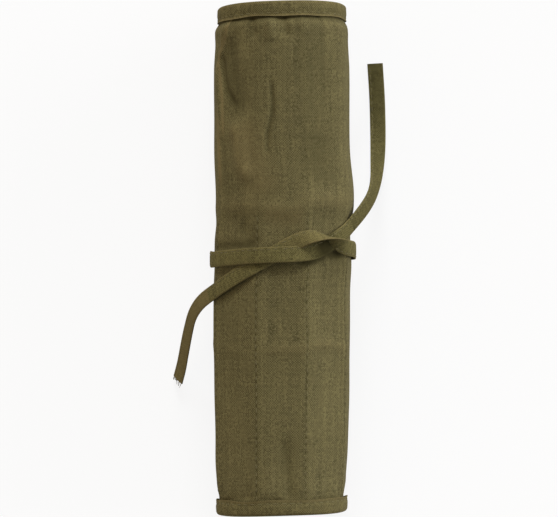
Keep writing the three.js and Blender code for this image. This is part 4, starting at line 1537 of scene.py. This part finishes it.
def empty_material(name):
    """New material with a Principled shader alone, and that shader."""
    material = bpy.data.materials.new(name)
    material.use_nodes = True
    return material, material.node_tree, material.node_tree.nodes["Principled BSDF"]


def tinted(shade, factor=1.0):
    """Colour times a factor, with full alpha."""
    return tuple(min(1.0, channel * factor) for channel in shade) + (1.0,)


def add_bump(tree, shader, height, strength, distance):
    """Gives a shader the normals of a bumpy surface."""
    bump = new_node(tree, "ShaderNodeBump")
    bump.inputs["Strength"].default_value = strength
    bump.inputs["Distance"].default_value = distance
    tree.links.new(height, bump.inputs["Height"])
    tree.links.new(bump.outputs["Normal"], shader.inputs["Normal"])


def canvas_material(name, shade, colours):
    """Woven cotton: a plain weave, streaky and faded dye, lighter at rubbed high places and painted
    highlights, darker at soiled creases and painted shade.
    """
    material, tree, shader = empty_material(name)
    cloth = new_node(tree, "ShaderNodeUVMap", uv_map="Cloth").outputs["UV"]
    weave = placed_group(tree, plain_weave(), cloth=cloth, thread_pitch=THREAD_PITCH).outputs
    ageing = placed_group(tree, cloth_ageing(), cloth=cloth).outputs
    tone = calculate(tree, "MULTIPLY_ADD", weave["Tone"], *THREAD_TONE)
    shown = calculate(tree, "MULTIPLY_ADD", ageing["Patches"], *WEFT_TONE)
    tone = calculate(tree, "MULTIPLY_ADD", calculate(tree, "SUBTRACT", weave["Weft"], 0.5), shown, tone)
    tone = calculate(tree, "MULTIPLY_ADD", weave["Grain"], GRAIN_TONE, tone)
    # Painted light on the crowns of the threads, lighter where the weave stands higher
    tone = calculate(tree, "MULTIPLY_ADD", weave["Height"], CROWN_PAINTED_LIGHT, tone)
    tone = calculate(tree, "MULTIPLY_ADD", ageing["Slubs"], SLUBS_TONE, tone)
    tone = calculate(tree, "MULTIPLY_ADD", ageing["Fading"], FADING_TONE, tone, True)
    dark, light = (tinted(shade, factor) for factor in CLOTH_SHADES)
    dyed = blended(tree, tone, dark, light)
    # The wear attribute lightens towards the worn colour for rubbed wear and painted highlights, and darkens
    # towards the soiled colour for dirt and painted shade
    wear_and_shading = new_node(tree, "ShaderNodeAttribute", attribute_name="wear_and_shading").outputs["Fac"]
    patchy = calculate(tree, "MULTIPLY_ADD", ageing["Fuzz"], *RUBBED_FUZZ)
    rubbed = calculate(tree, "MULTIPLY", wear_and_shading, patchy, 0.0, True)
    soil_and_shade = calculate(tree, "MULTIPLY", wear_and_shading, -SOIL_AND_SHADE_SHARE, 0.0, True)
    dyed_worn_and_lit = blended(tree, rubbed, dyed, tinted(colours.worn_and_lit))
    rough = calculate(tree, "MULTIPLY_ADD", ageing["Slubs"], *CLOTH_ROUGHNESS)
    feed(tree, shader.inputs["Base Color"], blended(tree, soil_and_shade, dyed_worn_and_lit, tinted(colours.soil_and_shade)))
    feed(tree, shader.inputs["Roughness"], rough)
    shader.inputs["Specular IOR Level"].default_value = CLOTH_SHINE
    relief = calculate(tree, "MULTIPLY_ADD", ageing["Slubs"], SLUBS_HEIGHT, weave["Height"])
    add_bump(tree, shader, relief, *CLOTH_BUMP)
    return material


def thread_material(name, shade):
    """Twisted sewing thread: slanting plies as diagonal bands in object coordinates, with uneven dye."""
    material, tree, shader = empty_material(name)
    place = new_node(tree, "ShaderNodeTexCoord").outputs["Object"]
    uneven = streaks(tree, place, *UNEVEN_DYE)
    plies = new_node(tree, "ShaderNodeTexWave", wave_type="BANDS", bands_direction="DIAGONAL")
    plies.inputs["Scale"].default_value = PLY_SCALE
    plies.inputs["Distortion"].default_value = PLY_DISTORTION
    tree.links.new(place, plies.inputs["Vector"])
    twist = plies.outputs["Fac"]
    dye = calculate(tree, "MULTIPLY_ADD", uneven, *UNEVEN_TONE)
    tone = calculate(tree, "MULTIPLY_ADD", twist, PLY_TONE, dye, True)
    dark, light = (tinted(shade, factor) for factor in THREAD_SHADES)
    feed(tree, shader.inputs["Base Color"], blended(tree, tone, dark, light))
    feed(tree, shader.inputs["Roughness"], calculate(tree, "MULTIPLY_ADD", uneven, *THREAD_ROUGHNESS))
    shader.inputs["Specular IOR Level"].default_value = THREAD_SHINE
    add_bump(tree, shader, twist, *THREAD_BUMP)
    return material


def seen_directly(tree):
    """One for rays from the camera, a mirror or glass, and nought for the light that falls on the object."""
    path = new_node(tree, "ShaderNodeLightPath")
    direct = calculate(tree, "MAXIMUM", path.outputs["Is Camera Ray"], path.outputs["Is Glossy Ray"])
    return calculate(tree, "MAXIMUM", direct, path.outputs["Is Transmission Ray"])


class ROLL_OT_stage(bpy.types.Operator):
    """Set out the pale floor, the soft light and the camera straight above the roll"""

    bl_idname = "brush_roll.stage"
    bl_label = "Stage"

    def execute(self, context):
        stage = context.scene.stage_sizes
        self.floor(context, stage)
        self.light(context, stage)
        self.camera(context, stage)
        context.scene.view_settings.view_transform = "Standard"
        return {"FINISHED"}

    def floor(self, context, stage):
        """Square floor at the table's height, white to the eye but keeping a faint shadow."""
        half = stage.floor_size / 2.0
        corners = [(-half, -half, 0.0), (half, -half, 0.0), (half, half, 0.0), (-half, half, 0.0)]
        mesh = bpy.data.meshes.new("floor")
        mesh.from_pydata(corners, [], [(0, 1, 2, 3)])
        material, tree, shader = empty_material("pale floor")
        shader.inputs["Base Color"].default_value = tuple(stage.floor) + (1.0,)
        shader.inputs["Roughness"].default_value = FLOOR_ROUGHNESS
        shader.inputs["Specular IOR Level"].default_value = FLOOR_SHINE
        white = new_node(tree, "ShaderNodeEmission")
        mixed = new_node(tree, "ShaderNodeMixShader")
        tree.links.new(calculate(tree, "MULTIPLY", seen_directly(tree), FLOOR_WHITE), mixed.inputs[0])
        tree.links.new(shader.outputs[0], mixed.inputs[1])
        tree.links.new(white.outputs[0], mixed.inputs[2])
        tree.links.new(mixed.outputs[0], tree.nodes["Material Output"].inputs["Surface"])
        mesh.materials.append(material)
        floor = bpy.data.objects.new("floor", mesh)
        context.scene.collection.objects.link(floor)

    def light(self, context, stage):
        """Even light from all round, and three soft lamps: from the top hem, the right and the left."""
        world = bpy.data.worlds.new("even light")
        world.use_nodes = True
        tree = world.node_tree
        background = tree.nodes["Background"]
        strength = calculate(tree, "MULTIPLY_ADD", seen_directly(tree), 1.0 - stage.sky, stage.sky)
        tree.links.new(strength, background.inputs["Strength"])
        background.inputs["Color"].default_value = (1.0, 1.0, 1.0, 1.0)
        context.scene.world = world
        self.lamp(context, "key light", stage.key, *KEY_LAMP)
        self.lamp(context, "side light", stage.side, *SIDE_LAMP)
        self.lamp(context, "fill light", stage.fill, *FILL_LAMP).color = stage.fill_shade

    def lamp(self, context, name, strength, spread, towards):
        """Soft distant lamp that stands towards a direction, and its data."""
        data = bpy.data.lights.new(name, "SUN")
        data.energy = strength
        data.angle = math.radians(spread)
        lamp = bpy.data.objects.new(name, data)
        lamp.rotation_euler = Vector(towards).to_track_quat("Z", "Y").to_euler()
        context.scene.collection.objects.link(lamp)
        return data

    def camera(self, context, stage):
        """Long lens above the roll, aimed at its middle."""
        data = bpy.data.cameras.new("camera")
        data.lens = stage.lens
        data.sensor_width = SENSOR_WIDTH
        data.sensor_fit = "HORIZONTAL"
        data.clip_end = CAMERA_REACH
        camera = bpy.data.objects.new("camera", data)
        place = Vector((stage.aim_x, stage.aim_y - stage.camera_back, stage.camera_height))
        aim = Vector((stage.aim_x, stage.aim_y, stage.aim_height))
        camera.location = place
        camera.rotation_euler = (aim - place).to_track_quat("-Z", "Y").to_euler()
        context.scene.collection.objects.link(camera)
        context.scene.camera = camera


class ROLL_PT_pieces(bpy.types.Panel):
    """Lists the operators that make the brush roll and its stage"""

    bl_idname = "ROLL_PT_pieces"
    bl_label = "Brush roll"
    bl_space_type = "VIEW_3D"
    bl_region_type = "UI"
    bl_category = "Brush roll"

    def draw(self, context):
        for operator in OPERATORS:
            self.layout.operator(operator.bl_idname)


OPERATORS = [
    ROLL_OT_stage, ROLL_OT_canvas, ROLL_OT_pockets, ROLL_OT_bindings, ROLL_OT_stitching, ROLL_OT_tie,
]
GROUPS = {
    "roll_sizes": RollSizes,
    "tie_sizes": TieSizes,
    "stitch_sizes": StitchSizes,
    "cloth_colours": ClothColours,
    "stage_sizes": StageSizes,
}
CLASSES = list(GROUPS.values()) + OPERATORS + [ROLL_PT_pieces]


def register():
    """Registers the classes and gives the scene its groups of sizes and colours."""
    for item in CLASSES:
        bpy.utils.register_class(item)
    for name, group in GROUPS.items():
        setattr(bpy.types.Scene, name, PointerProperty(type=group))


def unregister():
    """Takes back what register did."""
    for name in GROUPS:
        delattr(bpy.types.Scene, name)
    for item in reversed(CLASSES):
        bpy.utils.unregister_class(item)


def main():
    """Makes the stage and every piece in order."""
    register()
    bpy.ops.brush_roll.stage()
    bpy.ops.brush_roll.canvas()
    bpy.ops.brush_roll.pockets()
    bpy.ops.brush_roll.bindings()
    bpy.ops.brush_roll.stitching()
    bpy.ops.brush_roll.tie()


if __name__ == "__main__":
    main()
